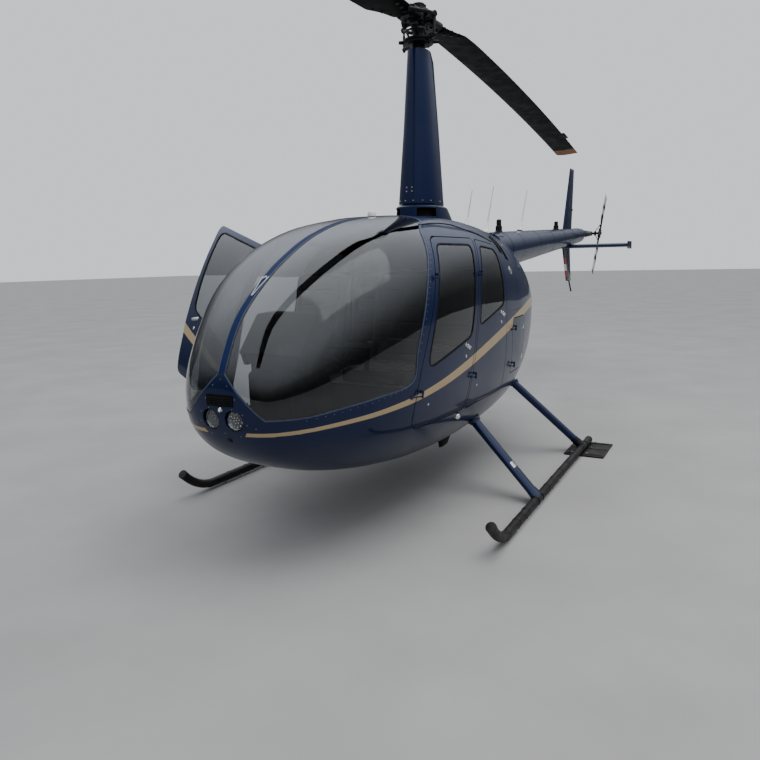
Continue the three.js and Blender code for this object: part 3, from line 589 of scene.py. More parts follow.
def even_out(mesh, turn):
    """Shades the faces that follow the skin by its evened normals, so that reflections run smoothly."""
    turn = Matrix.Identity(4) if turn is None else turn
    back, steer = turn.inverted(), turn.to_3x3()
    wanted = [steer @ even_normal(back @ point.co) for point in mesh.vertices]
    normals = [corner.vector.copy() for corner in mesh.corner_normals]
    for face in mesh.polygons:
        for corner, index in zip(face.loop_indices, face.vertices):
            agreement = face.normal.dot(wanted[index])
            if abs(agreement) > 0.95:
                normals[corner] = wanted[index] if agreement > 0 else -wanted[index]
    mesh.normals_split_custom_set(normals)


# Outlines in the side view
def rounded(rows):
    """Corner rows are (station, height, radius); without a radius the corner melts into its edges."""
    steps = 7
    line = []
    count = len(rows)
    for index, row in enumerate(rows):
        corner = Vector(row[:2])
        before, after = Vector(rows[index - 1][:2]), Vector(rows[(index + 1) % count][:2])
        limit = row[2] if len(row) > 2 else 9
        start = corner + (before - corner).normalized() * min(limit, (before - corner).length / 2)
        end = corner + (after - corner).normalized() * min(limit, (after - corner).length / 2)
        for step in range(steps + 1):
            t = step / steps
            point = start * (1 - t) ** 2 + corner * 2 * t * (1 - t) + end * t * t
            if not line or (point - line[-1]).length > 0.002:
                line.append(point)
    if (line[0] - line[-1]).length < 0.002:
        line.pop()
    return [tuple(point) for point in line]


def grown(outline, distance):
    """The outline moved outwards, or inwards where the distance is negative."""
    count = len(outline)
    area = sum(
        outline[i][0] * outline[(i + 1) % count][1] - outline[(i + 1) % count][0] * outline[i][1] for i in range(count)
    )
    side = 1 if area > 0 else -1
    moved = []
    for index, point in enumerate(outline):
        before, after = Vector(outline[index - 1]), Vector(outline[(index + 1) % count])
        along = (after - before).normalized()
        moved.append((point[0] + side * along.y * distance, point[1] - side * along.x * distance))
    return moved


FRONT_DOOR = rounded([
    (1.05, 1.761, 0.05), (0.463, 1.761, 0.05), (0.633, 1.563), (0.755, 1.038), (0.81, 0.925), (0.874, 0.668, 0.05),
    (1.5, 0.668, 0.06), (1.546, 0.74), (1.519, 0.934), (1.385, 1.229), (1.22, 1.573), (1.115, 1.722),
])
REAR_DOOR = rounded([
    (0.433, 1.757, 0.05), (0.04, 1.722, 0.06), (0.062, 1.612), (0.096, 1.411), (0.112, 0.923), (0.128, 0.814),
    (0.112, 0.668, 0.05), (0.843, 0.668, 0.05), (0.78, 0.919), (0.725, 1.032), (0.603, 1.56),
])
FRONT_WINDOW = rounded([
    (1.07, 1.716, 0.07), (0.568, 1.716, 0.06), (0.67, 1.551), (0.768, 1.235), (0.812, 1.136, 0.05),
    (1.415, 1.004, 0.09), (1.35, 1.19), (1.196, 1.53),
])
REAR_WINDOW = rounded([
    (0.411, 1.712, 0.06), (0.09, 1.688, 0.07), (0.126, 1.562), (0.138, 1.434), (0.16, 1.3, 0.06),
    (0.662, 1.188, 0.06), (0.588, 1.5),
])
BAGGAGE_DOOR = rounded([
    (-0.06, 1.18, 0.045), (-0.06, 0.76, 0.045), (-0.43, 0.76, 0.045), (-0.43, 1.18, 0.045),
])
WINDSHIELD_REAR = [
    (1.566, 0.955), (1.51, 1.128), (1.412, 1.342), (1.325, 1.507), (1.205, 1.677), (1.11, 1.775),
    (0.99, 1.837), (0.85, 1.89), (0.76, 2.05),
]


def windshield_outline(grow):
    lower = [(2.6, 0.868), (2.25, 0.862), (2.056, 0.884), (1.844, 0.911), (1.566, 0.955)]
    edge = smooth_line([Vector((x, z, 0)) for x, z in lower + WINDSHIELD_REAR[1:]], 5)
    line = [(point.x, point.y) for point in edge] + [(0.76, 2.2), (2.6, 2.2)]
    moved = grown(line, grow)
    return moved[:-2] + line[-2:]


def nose_wedge(grow):
    """Front view: the painted point between the two windshield halves, low on the nose."""
    rise = 1.105 - 1.25 * grow
    reach = 0.3
    return [(0.0, rise), (-reach, rise - 0.305), (reach, rise - 0.305)]


# Cutting panels out of the skin
def slice_along(shape, outline, axes):
    """Splits the faces that an outline crosses, seen along the remaining axis, in an order that never varies."""
    first, second = axes
    third = 3 - first - second
    lows, highs = [min(p[k] for p in outline) for k in (0, 1)], [max(p[k] for p in outline) for k in (0, 1)]

    def span(face):
        a = [point.co[first] for point in face.verts]
        b = [point.co[second] for point in face.verts]
        return min(a), max(a), min(b), max(b)

    near = {}
    for face in shape.faces:
        box = span(face)
        if box[1] >= lows[0] and box[0] <= highs[0] and box[3] >= lows[1] and box[2] <= highs[1]:
            near[face] = box
    for start, end in zip(outline, [*outline[1:], outline[0]]):
        low = [min(start[k], end[k]) - 1e-5 for k in (0, 1)]
        high = [max(start[k], end[k]) + 1e-5 for k in (0, 1)]
        hit = [f for f, s in near.items() if s[1] >= low[0] and s[0] <= high[0] and s[3] >= low[1] and s[2] <= high[1]]
        if not hit:
            continue
        geometry = dict.fromkeys(hit)
        corners = dict.fromkeys(point for face in hit for point in face.verts)
        for face in hit:
            geometry.update(dict.fromkeys(face.edges))
            del near[face]
        geometry.update(corners)
        along = (end[0] - start[0], end[1] - start[1])
        spot, across = [0.0, 0.0, 0.0], [0.0, 0.0, 0.0]
        spot[first], spot[second] = start
        across[first], across[second], across[third] = -along[1], along[0], 0.0
        cut = bmesh.ops.bisect_plane(shape, geom=list(geometry), dist=5e-5, plane_co=spot, plane_no=across)
        corners.update((item, None) for item in cut["geom_cut"] if isinstance(item, bmesh.types.BMVert))
        for face in dict.fromkeys(face for point in corners for face in point.link_faces):
            near[face] = span(face)


def inside(outline, points):
    """For each point, whether it lies within the outline."""
    found = np.zeros(len(points), bool)
    x, y = points[:, 0], points[:, 1]
    for (ax, ay), (bx, by) in zip(outline, [*outline[1:], outline[0]]):
        if ay != by:
            found ^= ((ay > y) != (by > y)) & (x < (bx - ax) * (y - ay) / (by - ay) + ax)
    return found


SIDE_VIEW, FRONT_VIEW = (0, 2), (1, 2)


def carve(shape, outline, axes, keep=False, where=lambda middle: True):
    """Drops what lies within an outline, or all the rest, where a face's middle passes the test."""
    if axes == SIDE_VIEW:
        outline = [(x + MAST, z) for x, z in outline]
    slice_along(shape, outline, axes)
    faces = [face for face in shape.faces if where(face.calc_center_median())]
    centres = np.array([face.calc_center_median() for face in faces])[:, list(axes)]
    within = inside(outline, centres)
    bmesh.ops.delete(shape, geom=[f for f, yes in zip(faces, within) if yes != keep], context="FACES")


def skin_region(side=0, keep=(), drop=(), behind=None, ahead=None, aside=None):
    """A copy of the skin cut down to one side, to what lies within or outside outlines, and at planes across it."""
    shape = SKIN.copy()
    if side:
        bmesh.ops.delete(shape, geom=[f for f in shape.faces if f.calc_center_median().y * side < 0], context="FACES")

    def clip(spot, away):
        bmesh.ops.bisect_plane(
            shape, geom=[*shape.verts, *shape.edges, *shape.faces], dist=1e-4, plane_co=spot, plane_no=away,
            clear_outer=True,
        )

    if behind is not None:
        clip(at(behind, 0, 0), X_AXIS)
    if ahead is not None:
        clip(at(ahead, 0, 0), (-1, 0, 0))
    if aside is not None:
        clip((0, side * aside, 0), (0, -side, 0))
    for outline in keep:
        low, high = min(p[0] for p in outline) + MAST - 0.03, max(p[0] for p in outline) + MAST + 0.03
        far = [f for f in shape.faces if not low < f.calc_center_median().x < high]
        bmesh.ops.delete(shape, geom=far, context="FACES")
        carve(shape, outline, SIDE_VIEW, True)
    for outline in drop:
        carve(shape, outline, SIDE_VIEW)
    return shape


def panel(name, shape, body, slot, looks, wall, lift=0.0, stands_for=(), turn=None, edge=0.0012):
    """Gives a cut region its wall, inwards, and rounds its rim."""
    bmesh.ops.dissolve_degenerate(shape, dist=2e-4, edges=shape.edges)
    shape.normal_update()
    if lift:
        for point, normal in [(point, point.normal.copy()) for point in shape.verts]:
            point.co += normal * lift
    if turn is not None:
        shape.transform(turn)
    piece = finished(name, shape, looks, body, slot, stands_for)
    thick = piece.modifiers.new("wall", "SOLIDIFY")
    thick.thickness = wall
    thick.offset = -1
    thick.use_quality_normals = True
    if len(piece.data.materials) > 1:
        thick.material_offset = 1
        thick.material_offset_rim = len(piece.data.materials) - 1
    if edge:
        rim = piece.modifiers.new("rim", "BEVEL")
        rim.width = edge
        rim.segments = 2
        rim.limit_method = "ANGLE"
        rim.angle_limit = math.radians(50)
    bake(piece, 32)
    even_out(piece.data, turn)
    return piece


# Station and height of each hinge pin, and how far its two arms reach, onto the frame and back onto the door
HINGES = {
    "front": ((1.244, 1.53, 0.015, 0.026), (1.508, 0.88, 0.062, 0.026)),
    "rear": ((0.613, 1.53, 0.0, 0.0365), (0.793, 0.88, 0.0125, 0.026)),
    "baggage": ((-0.057, 1.11, 0.015, 0.026), (-0.057, 0.83, 0.015, 0.026)),
}
PIN_STAND_OFF = 0.026


def hinge_pins(door, side):
    return [at(x, side * (skin_y(x, z) + PIN_STAND_OFF), z) for x, z, _, _ in HINGES[door]]


def opening_motion():
    """How the right front door stands open, turned about its two hinge pins."""
    upper, lower = hinge_pins("front", -1)
    axis = (upper - lower).normalized()
    return Matrix.Translation(upper) @ Matrix.Rotation(OPEN_ANGLE, 4, axis) @ Matrix.Translation(-upper)


OPENED = opening_motion()
SHELL_LOOKS = [BLUE, LINING, RUBBER]
DOOR_LOOKS = [BLUE, TRIM, BLUE]


def doorway(outline):
    """The opening for a door: its outline with the gap, and lower at the sill."""
    return [(x, z if z > 0.66 else z - SILL_DROP) for x, z in grown(outline, DOOR_GAP)]


# Station, height of the stripe's middle line, and its width
STRIPE = (
    (2.348, 0.785, 0.02), (2.221, 0.794, 0.021), (2.041, 0.805, 0.023), (1.818, 0.827, 0.027), (1.494, 0.864, 0.037),
    (1.144, 0.914, 0.049), (0.66, 1.005, 0.062), (0.15, 1.11, 0.069), (-0.279, 1.198, 0.071), (-0.7, 1.24, 0.071),
    (-1.035, 1.252, 0.071),
)
STRIPE_CURVE, STRIPE_WIDTH = (
    np.polynomial.Polynomial.fit([row[0] for row in STRIPE], [row[column] for row in STRIPE], 5) for column in (1, 2)
)
STRIPE_NOSE = ((0.16, 0.83), (0.092, 0.74), (-0.092, 0.74), (-0.16, 0.83))


def stripe_outline():
    upper, lower = [], []
    for station in np.linspace(2.44, -1.035, 90):
        held = min(station, 2.34)
        slope = STRIPE_CURVE.deriv()(held)
        half = float(STRIPE_WIDTH(held)) / 2 * math.sqrt(1 + slope * slope)
        height = float(STRIPE_CURVE(held))
        upper.append((float(station), height + half))
        lower.append((float(station), height - half))
    return upper + lower[::-1]


def stripe_on(name, side, body, keep=(), drop=(), turn=None, **limits):
    shape = skin_region(side, keep=[stripe_outline(), *keep], drop=drop, **limits)
    if any(on_the_nose(face.calc_center_median()) for face in shape.faces):
        carve(shape, list(STRIPE_NOSE), FRONT_VIEW)
    if shape.faces:
        panel(name, shape, body, "blue_paint", GOLD, 0.0016, 0.0011, turn=turn, edge=0)
    else:
        shape.free()


def build_doors():
    for door, outline, window in (("front", FRONT_DOOR, FRONT_WINDOW), ("rear", REAR_DOOR, REAR_WINDOW)):
        for side, hand in SIDES:
            turn = OPENED if (door, side) == ("front", -1) else None
            name = f"{door}_{hand}"
            body = f"{name}_door_leaf"
            leaf = skin_region(side, keep=[grown(outline, -DOOR_GAP)], drop=[window])
            panel(f"{name}_door_skin", leaf, body, "blue_paint", DOOR_LOOKS, 0.01, stands_for=f"{name}_door",
                  turn=turn)
            pane = skin_region(side, keep=[grown(window, 0.004)])
            panel(f"{name}_pane", pane, body, "tinted_glass", GLASS, GLASS_WALL, -0.0025, f"{name}_window", turn, 0)
            seal = skin_region(side, keep=[grown(window, 0.0045)], drop=[grown(window, -0.0045)])
            panel(f"{name}_window_seal", seal, body, "black_metal", RUBBER, 0.006, 0.0016, turn=turn, edge=0.0008)
            stripe_on(f"{name}_stripe", side, body, keep=[grown(outline, -DOOR_GAP - 0.001)], turn=turn)
            trim = skin_region(side, keep=[grown(outline, -0.03)], drop=[grown(window, 0.012)])
            panel(f"{name}_door_trim", trim, body, "cabin_trim", TRIM, 0.012, -0.0105, turn=turn)
            frame_seal = skin_region(side, keep=[grown(outline, 0.014)], drop=[grown(outline, -0.011)])
            panel(f"{name}_doorway_seal", frame_seal, "root", "black_metal", RUBBER, 0.006, -0.0125, edge=0.001)


# The dark cover of the centre post narrows towards the roof
POST_COVER = [(-0.0185, 0.9), (0.0185, 0.9), (0.011, 1.95), (-0.011, 1.95)]


def build_shell():
    split = [(2.6, 1.09), (2.6, -0.1), (-0.3, -0.1), (-0.3, 0.925), (1.7, 0.925), (2.1, 1.09)]
    doors = [doorway(FRONT_DOOR), doorway(REAR_DOOR)]
    glazing = windshield_outline(0.002)
    wedge = nose_wedge(0.0)
    lower = skin_region(keep=[split], ahead=-0.03)
    for outline in doors:
        carve(lower, outline, SIDE_VIEW)
    drop_windshield(lower, glazing, wedge)
    cut_lamp_bores(lower)
    clear_lamp_bores(panel("hull_skin", lower, "root", "blue_paint", SHELL_LOOKS, 0.014, stands_for="lower_hull"))
    upper = skin_region(ahead=-0.03)
    carve(upper, [(x, z + 0.0003) for x, z in split], SIDE_VIEW)
    for outline in doors:
        carve(upper, outline, SIDE_VIEW)
    drop_windshield(upper, glazing, wedge)
    panel("roof_skin", upper, "root", "blue_paint", SHELL_LOOKS, 0.016, stands_for="roof_and_posts")
    for side, hand in SIDES:
        glass = skin_region(side, keep=[windshield_outline(0.004)], aside=0.0205)
        carve(glass, nose_wedge(0.004), FRONT_VIEW)
        panel(f"windshield_{hand}_pane", glass, "root", "tinted_glass", GLASS, 0.0045, -0.002,
              f"windshield_{hand}", edge=0)
        rim = skin_region(side, keep=[windshield_outline(0.003)], aside=0.019)
        carve(rim, nose_wedge(0.003), FRONT_VIEW)
        inner = windshield_outline(-0.004)
        wedge_in = nose_wedge(-0.005)
        drop_windshield(rim, inner, wedge_in, 0.0235)
        panel(f"windshield_{hand}_seal", rim, "root", "black_metal", SEALANT_AND_HIGHLIGHT, 0.006, 0.0014, edge=0.0008)
    cover = skin_region(keep=[windshield_outline(0.001)])
    carve(cover, nose_wedge(0.001), FRONT_VIEW)
    carve(cover, POST_COVER, FRONT_VIEW, True)
    panel("centre_post_cover", cover, "root", "blue_paint", POST_BLUE, 0.0016, 0.0011, edge=0)


def drop_windshield(shape, outline, wedge, post=0.021):
    """Removes the glazed area, leaving the centre post and the painted point of the nose."""
    slice_along(shape, [(x + MAST, z) for x, z in outline], SIDE_VIEW)
    slice_along(shape, wedge, FRONT_VIEW)
    for side in (-1, 1):
        near = [f for f in shape.faces if abs(f.calc_center_median().y) < 0.08]
        geometry = dict.fromkeys(item for face in near for item in (face, *face.edges, *face.verts))
        bmesh.ops.bisect_plane(shape, geom=list(geometry), dist=1e-4, plane_co=(0, side * post, 0), plane_no=Y_AXIS)
    faces = list(shape.faces)
    centres = np.array([face.calc_center_median() for face in faces])
    glazed = inside([(x + MAST, z) for x, z in outline], centres[:, [0, 2]])
    glazed &= np.abs(centres[:, 1]) > post
    glazed &= ~(inside(wedge, centres[:, [1, 2]]) & (centres[:, 0] > 1.9 + MAST))
    bmesh.ops.delete(shape, geom=[f for f, yes in zip(faces, glazed) if yes], context="FACES")


LAMP_Y, LAMP_Z, LAMP_RADIUS = 0.074, 0.855, 0.052


def circle(across, height, radius, count):
    turns = [FULL_TURN * step / count for step in range(count)]
    return [(across + radius * math.cos(turn), height + radius * math.sin(turn)) for turn in turns]


def on_the_nose(point):
    return point.x > 2.2 + MAST


def cut_lamp_bores(shape):
    for side in (-1, 1):
        ring = circle(side * LAMP_Y, LAMP_Z, LAMP_RADIUS + 0.001, 40)
        carve(shape, ring, FRONT_VIEW, where=on_the_nose)


def clear_lamp_bores(hull):
    """Moves the wall behind each lamp hole out of the lamp's way."""
    for point in hull.data.vertices:
        if not on_the_nose(point.co):
            continue
        side = math.copysign(1, point.co.y)
        away = Vector((point.co.y - side * LAMP_Y, point.co.z - LAMP_Z))
        if away.length < LAMP_RADIUS + 0.0008:
            away = away.normalized() * (LAMP_RADIUS + 0.0012)
            point.co.y, point.co.z = side * LAMP_Y + away.x, LAMP_Z + away.y


# Aft body
COWL_SPLIT = 1.24
LOUVRES = (
    ((-0.042, 1.782), (-0.118, 1.79), (-0.108, 1.655), (-0.036, 1.672)),
    ((-0.146, 1.792), (-0.222, 1.798), (-0.208, 1.606), (-0.134, 1.622)),
)
EXHAUST_START, EXHAUST_END, EXHAUST_RADIUS = at(-1.18, 0, 0.98), at(-1.64, 0, 0.56), 0.092


def carve_round(shape, centre, direction, radius):
    """Cuts a round hole through the skin along any direction."""
    turn = Vector(direction).to_track_quat("X", "Z").to_matrix().to_4x4()
    level = (Matrix.Translation(centre) @ turn).inverted()
    shape.transform(level)
    carve(shape, circle(0, 0, radius, 48), FRONT_VIEW, where=lambda middle: abs(middle.x) < 0.35)
    shape.transform(level.inverted())


def between(points, share):
    """The point at a share of the way along two corners."""
    return tuple(a + (b - a) * share for a, b in zip(*points))


def build_louvre(number, outline, side, hand):
    """A recess in the cowl with slats that lean outwards at the bottom."""
    # The black back of the recess is painted shade of the bay behind the slats.
    back = skin_region(side, keep=[grown(list(outline), 0.004)])
    panel(f"louvre_{hand}_{number}_back", back, "root", "black_metal", MESH, 0.003, -0.016, edge=0)
    rim = skin_region(side, keep=[grown(list(outline), 0.009)], drop=[grown(list(outline), -0.002)])
    panel(f"louvre_{hand}_{number}_rim", rim, "root", "black_metal", BLACK, 0.016, 0.001, edge=0.0008)
    front, rear = (outline[0], outline[3]), (outline[1], outline[2])
    slats = bmesh.new()
    count = 9
    for step in range(count):
        share = (step + 0.6) / (count + 0.2)

        def place(u, v):
            ends = between(front, share), between(rear, share)
            station, height = between(ends, 0.04 + 0.92 * u)
            point = skin_point(station, height - 0.011 * v, side)
            return point - skin_normal(point) * (0.013 - 0.012 * v)

        blade = grid_of(place, 8, 3)
        bmesh.ops.solidify(blade, geom=blade.faces[:], thickness=0.0016)
        join(slats, blade)
    finished(f"louvre_{hand}_{number}_slats", slats, BLACK, "root", "black_metal", recalculate=True)


def build_cowls():
    upper = skin_region(behind=-0.0303)
    lower = upper.copy()
    bounds = [(-2.2, COWL_SPLIT), (-2.2, 2.3), (0.1, 2.3), (0.1, COWL_SPLIT)]
    carve(upper, grown(bounds, -0.0008), SIDE_VIEW, True)
    for outline in LOUVRES:
        carve(upper, list(outline), SIDE_VIEW)
    carve(lower, grown(bounds, 0.0008), SIDE_VIEW)
    door = grown(BAGGAGE_DOOR, DOOR_GAP)
    carve(lower, door, SIDE_VIEW, where=lambda middle: middle.y > 0)
    carve_round(lower, (EXHAUST_START + EXHAUST_END) / 2, EXHAUST_END - EXHAUST_START, EXHAUST_RADIUS + 0.012)
    panel("upper_cowl_skin", upper, "root", "blue_paint", SHELL_LOOKS, 0.006, stands_for="upper_cowl")
    panel("lower_cowl_skin", lower, "root", "blue_paint", SHELL_LOOKS, 0.006, stands_for="lower_cowl")
    leaf = skin_region(1, keep=[grown(BAGGAGE_DOOR, -DOOR_GAP)])
    panel("baggage_door_skin", leaf, "baggage_door_leaf", "blue_paint", DOOR_LOOKS, 0.012,
          stands_for="baggage_left_door")
    well = skin_region(1, keep=[grown(BAGGAGE_DOOR, 0.02)])
    panel("baggage_bay_liner", well, "root", "cabin_trim", LINING, 0.004, -0.03, edge=0)
    for side, hand in SIDES:
        stripe_on(f"cowl_{hand}_stripe", side, "root", drop=[door] if side > 0 else [], behind=-0.031)
        for number, outline in enumerate(LOUVRES, 1):
            build_louvre(number, outline, side, hand)
    for side, hand in SIDES:
        stripe_on(f"hull_{hand}_stripe", side, "root", drop=[doorway(FRONT_DOOR), doorway(REAR_DOOR)], ahead=-0.029)


def build_exhaust():
    shape = bmesh.new()
    axis = EXHAUST_END - EXHAUST_START
    length = axis.length
    profile = [
        (-0.006, 0.0), (0, 0.0), (0, 0.35), (-0.001, 0.36), (0, 0.37), (0, length - 0.03), (0.002, length - 0.012),
        (0, length), (-0.004, length), (-0.006, length - 0.012),
    ]
    add_turned(shape, [(EXHAUST_RADIUS + step, along) for step, along in profile], EXHAUST_START, axis, 48)
    finished("exhaust_tube", shape, HOT_METAL, "root", "bare_metal", "exhaust_pipe", recalculate=True)
    flange = bmesh.new()
    ring = [(0.094, 0), (0.118, 0.002), (0.119, 0.006), (0.094, 0.008)]
    add_turned(flange, ring, EXHAUST_START + axis * 0.735, axis, 48)
    finished("exhaust_shroud", flange, STEEL, "root", "bare_metal", recalculate=True)


# Mast fairing and collar
# Height, front, rear and half width from the rotor's axis
FAIRING = (
    (2.042, 0.2, -0.318, 0.151), (2.6, 0.148, -0.283, 0.11), (3.095, 0.11, -0.216, 0.08),
    (3.15, 0.104, -0.15, 0.078),
)
COLLAR = (
    (1.78, 0.235, -0.66, 0.182), (1.92, 0.232, -0.54, 0.18), (2.018, 0.225, -0.385, 0.172),
    (2.029, 0.208, -0.356, 0.156), (2.03, 0.178, -0.29, 0.13), (2.0417, 0.178, -0.29, 0.13),
)


def row_at(table, value):
    """The row of a table at a value of its first column, on straight lines between rows."""
    columns = list(zip(*table))
    return [float(np.interp(value, columns[0], column)) for column in columns[1:]]


def fairing_point(row, height, share):
    front, rear, half = row
    angle = FULL_TURN * share
    along, across = math.cos(angle), math.sin(angle)
    sweep = math.copysign(abs(across) ** (1.2 if along < 0 else 0.9), across)
    return Vector((MAST + along * (-rear if along < 0 else front), half * sweep, height))


def build_fairing():
    low, high = FAIRING[0][0], FAIRING[-1][0]

    def place(u, v):
        height = low + (high - low) * (1 - (1 - u) ** 1.3)
        return fairing_point(row_at(FAIRING, height), height, v)

    shape = closed_grid(place, 70, 72)
    finished("mast_fairing_skin", shape, BLUE, "root", "blue_paint", "mast_fairing", sharp=50)

    levels = [1.78 + 0.14 * k / 8 for k in range(8)] + [1.92 + 0.098 * k / 10 for k in range(10)]
    levels += [2.018, 2.021, 2.024, 2.027, 2.029, 2.0295, 2.03, 2.031, 2.034, 2.037, 2.039, 2.041, 2.0417]

    def collar_place(u, v):
        height = levels[round(u * (len(levels) - 1))]
        point = fairing_point(row_at(COLLAR, height), height, v)
        point.z = max(point.z, skin_z(point.x - MAST, point.y) - 0.004)
        return point

    collar = closed_grid(collar_place, len(levels) - 1, 72, cap=False)
    bmesh.ops.dissolve_degenerate(collar, dist=1e-4, edges=collar.edges)
    for side in (1, -1):
        ring = [(side * 0.07, 1.945), (side * 0.4, 1.945), (side * 0.4, 2.008), (side * 0.07, 2.008)]
        carve(collar, ring, FRONT_VIEW, where=lambda middle: middle.x > 0.07 + MAST)
    # The collar's inner faces and cut edges are black, and a black band stands inside it: painted shade seen through
    # the inlet notches.
    panel("mast_collar_skin", collar, "root", "blue_paint", [BLUE, BLACK, BLACK], 0.004, stands_for="mast_collar")

    def duct_place(u, v):
        height = 1.93 + 0.095 * u
        front, rear, half = row_at(COLLAR, min(height, 2.018))
        return fairing_point((front - 0.035, rear + 0.04, half - 0.035), height, v)

    finished("collar_duct_painted_shade", closed_grid(duct_place, 6, 48), MESH, "root", "black_metal")
    studs = bmesh.new()
    for share in (0.03, 0.1, 0.17, 0.27, 0.36, 0.45, 0.55, 0.64, 0.73, 0.83, 0.9, 0.97):
        point = fairing_point(row_at(FAIRING, 2.062), 2.062, share)
        away = Vector((point.x - MAST, point.y * 2.2, 0)).normalized()
        add_rod(studs, point - away * 0.003, point + away * 0.002, 0.0065, 0.005, 12)
    for height in (2.13, 2.158):
        for side in (1, -1):
            point = fairing_point(row_at(FAIRING, height), height, 0.02 * side)
            add_rod(studs, point - Vector((0.004, 0, 0)), point + Vector((0.004, 0, 0)), 0.007, 0.0055, 12)
    finished("fairing_screws", studs, STEEL, "root", "bare_metal")


# Main rotor
ROTOR_RADIUS, ROTOR_HEIGHT, ROTOR_DROOP, ROTOR_HEADING = 5.03, 3.365, 0.31, 1.5
BLADE_ROOT, BLADE_TAPER_END, TIP_START = 0.236, 0.836, 4.98
STRIP_START, TIP_BAND, TIP_BAND_END = 0.75, 4.755, 5.013
# Where the pitch links stand beside the mast
LINK_X, LINK_Y = 0.108, 0.168
# Radius, leading edge, trailing edge, thickness, and how far the section is a true wing
BLADE_ROWS = (
    (0.236, 0.064, -0.118, 0.066, 0.1), (0.33, 0.066, -0.15, 0.056, 0.4), (0.445, 0.07, -0.208, 0.042, 0.8),
    (0.64, 0.072, -0.218, 0.034, 1.0), (1.8, 0.072, -0.218, 0.033, 1.0), (3.0, 0.072, -0.218, 0.032, 1.0),
    (4.1, 0.072, -0.218, 0.031, 1.0), (5.03, 0.072, -0.218, 0.03, 1.0),
)
TAIL_BLADE_ROWS = (
    (0.075, 0.022, -0.022, 0.026, 0.0), (0.15, 0.027, -0.033, 0.022, 0.4), (0.22, 0.032, -0.096, 0.016, 1.0),
    (0.72, 0.032, -0.096, 0.013, 1.0),
)
ROTOR = Matrix.Translation((MAST, 0, ROTOR_HEIGHT)) @ Matrix.Rotation(math.radians(ROTOR_HEADING), 4, "Z")


def wing_section(row, share):
    """A point round a blade's section: distance forward, and height."""
    fore, aft, thick, wing = row
    angle = FULL_TURN * share
    u = (1 - math.cos(angle)) / 2
    foil = 10 * (0.2969 * math.sqrt(u) - 0.126 * u - 0.3516 * u * u + 0.2843 * u ** 3 - 0.1015 * u ** 4)
    across = math.sin(angle)
    half = (foil * wing + abs(across) * (1 - wing)) * thick / 2
    return fore + (aft - fore) * u, math.copysign(half, across) if abs(across) > 1e-9 else 0.0


def blade_point(radius, share, swell=0.0):
    """A point on a main blade's skin in the rotor's own frame, with its droop and twist."""
    row = row_at(BLADE_ROWS, min(radius, ROTOR_RADIUS))
    tip = max(0.0, (radius - ROTOR_RADIUS + 0.012) / 0.012)
    row[2] *= math.sqrt(max(0.05, 1 - tip * tip)) if tip else 1
    fore, up = wing_section(row, share)
    if swell:
        fore += swell * (1 if fore > row[0] - 0.02 else 0)
        up += math.copysign(swell, up)
    sag = ROTOR_DROOP * (max(0.0, radius - BLADE_ROOT) / (ROTOR_RADIUS - BLADE_ROOT)) ** 1.6
    twist = math.radians(6 * (1 - radius / ROTOR_RADIUS))
    return Vector((
        radius, fore * math.cos(twist) - up * math.sin(twist), fore * math.sin(twist) + up * math.cos(twist) - sag,
    ))


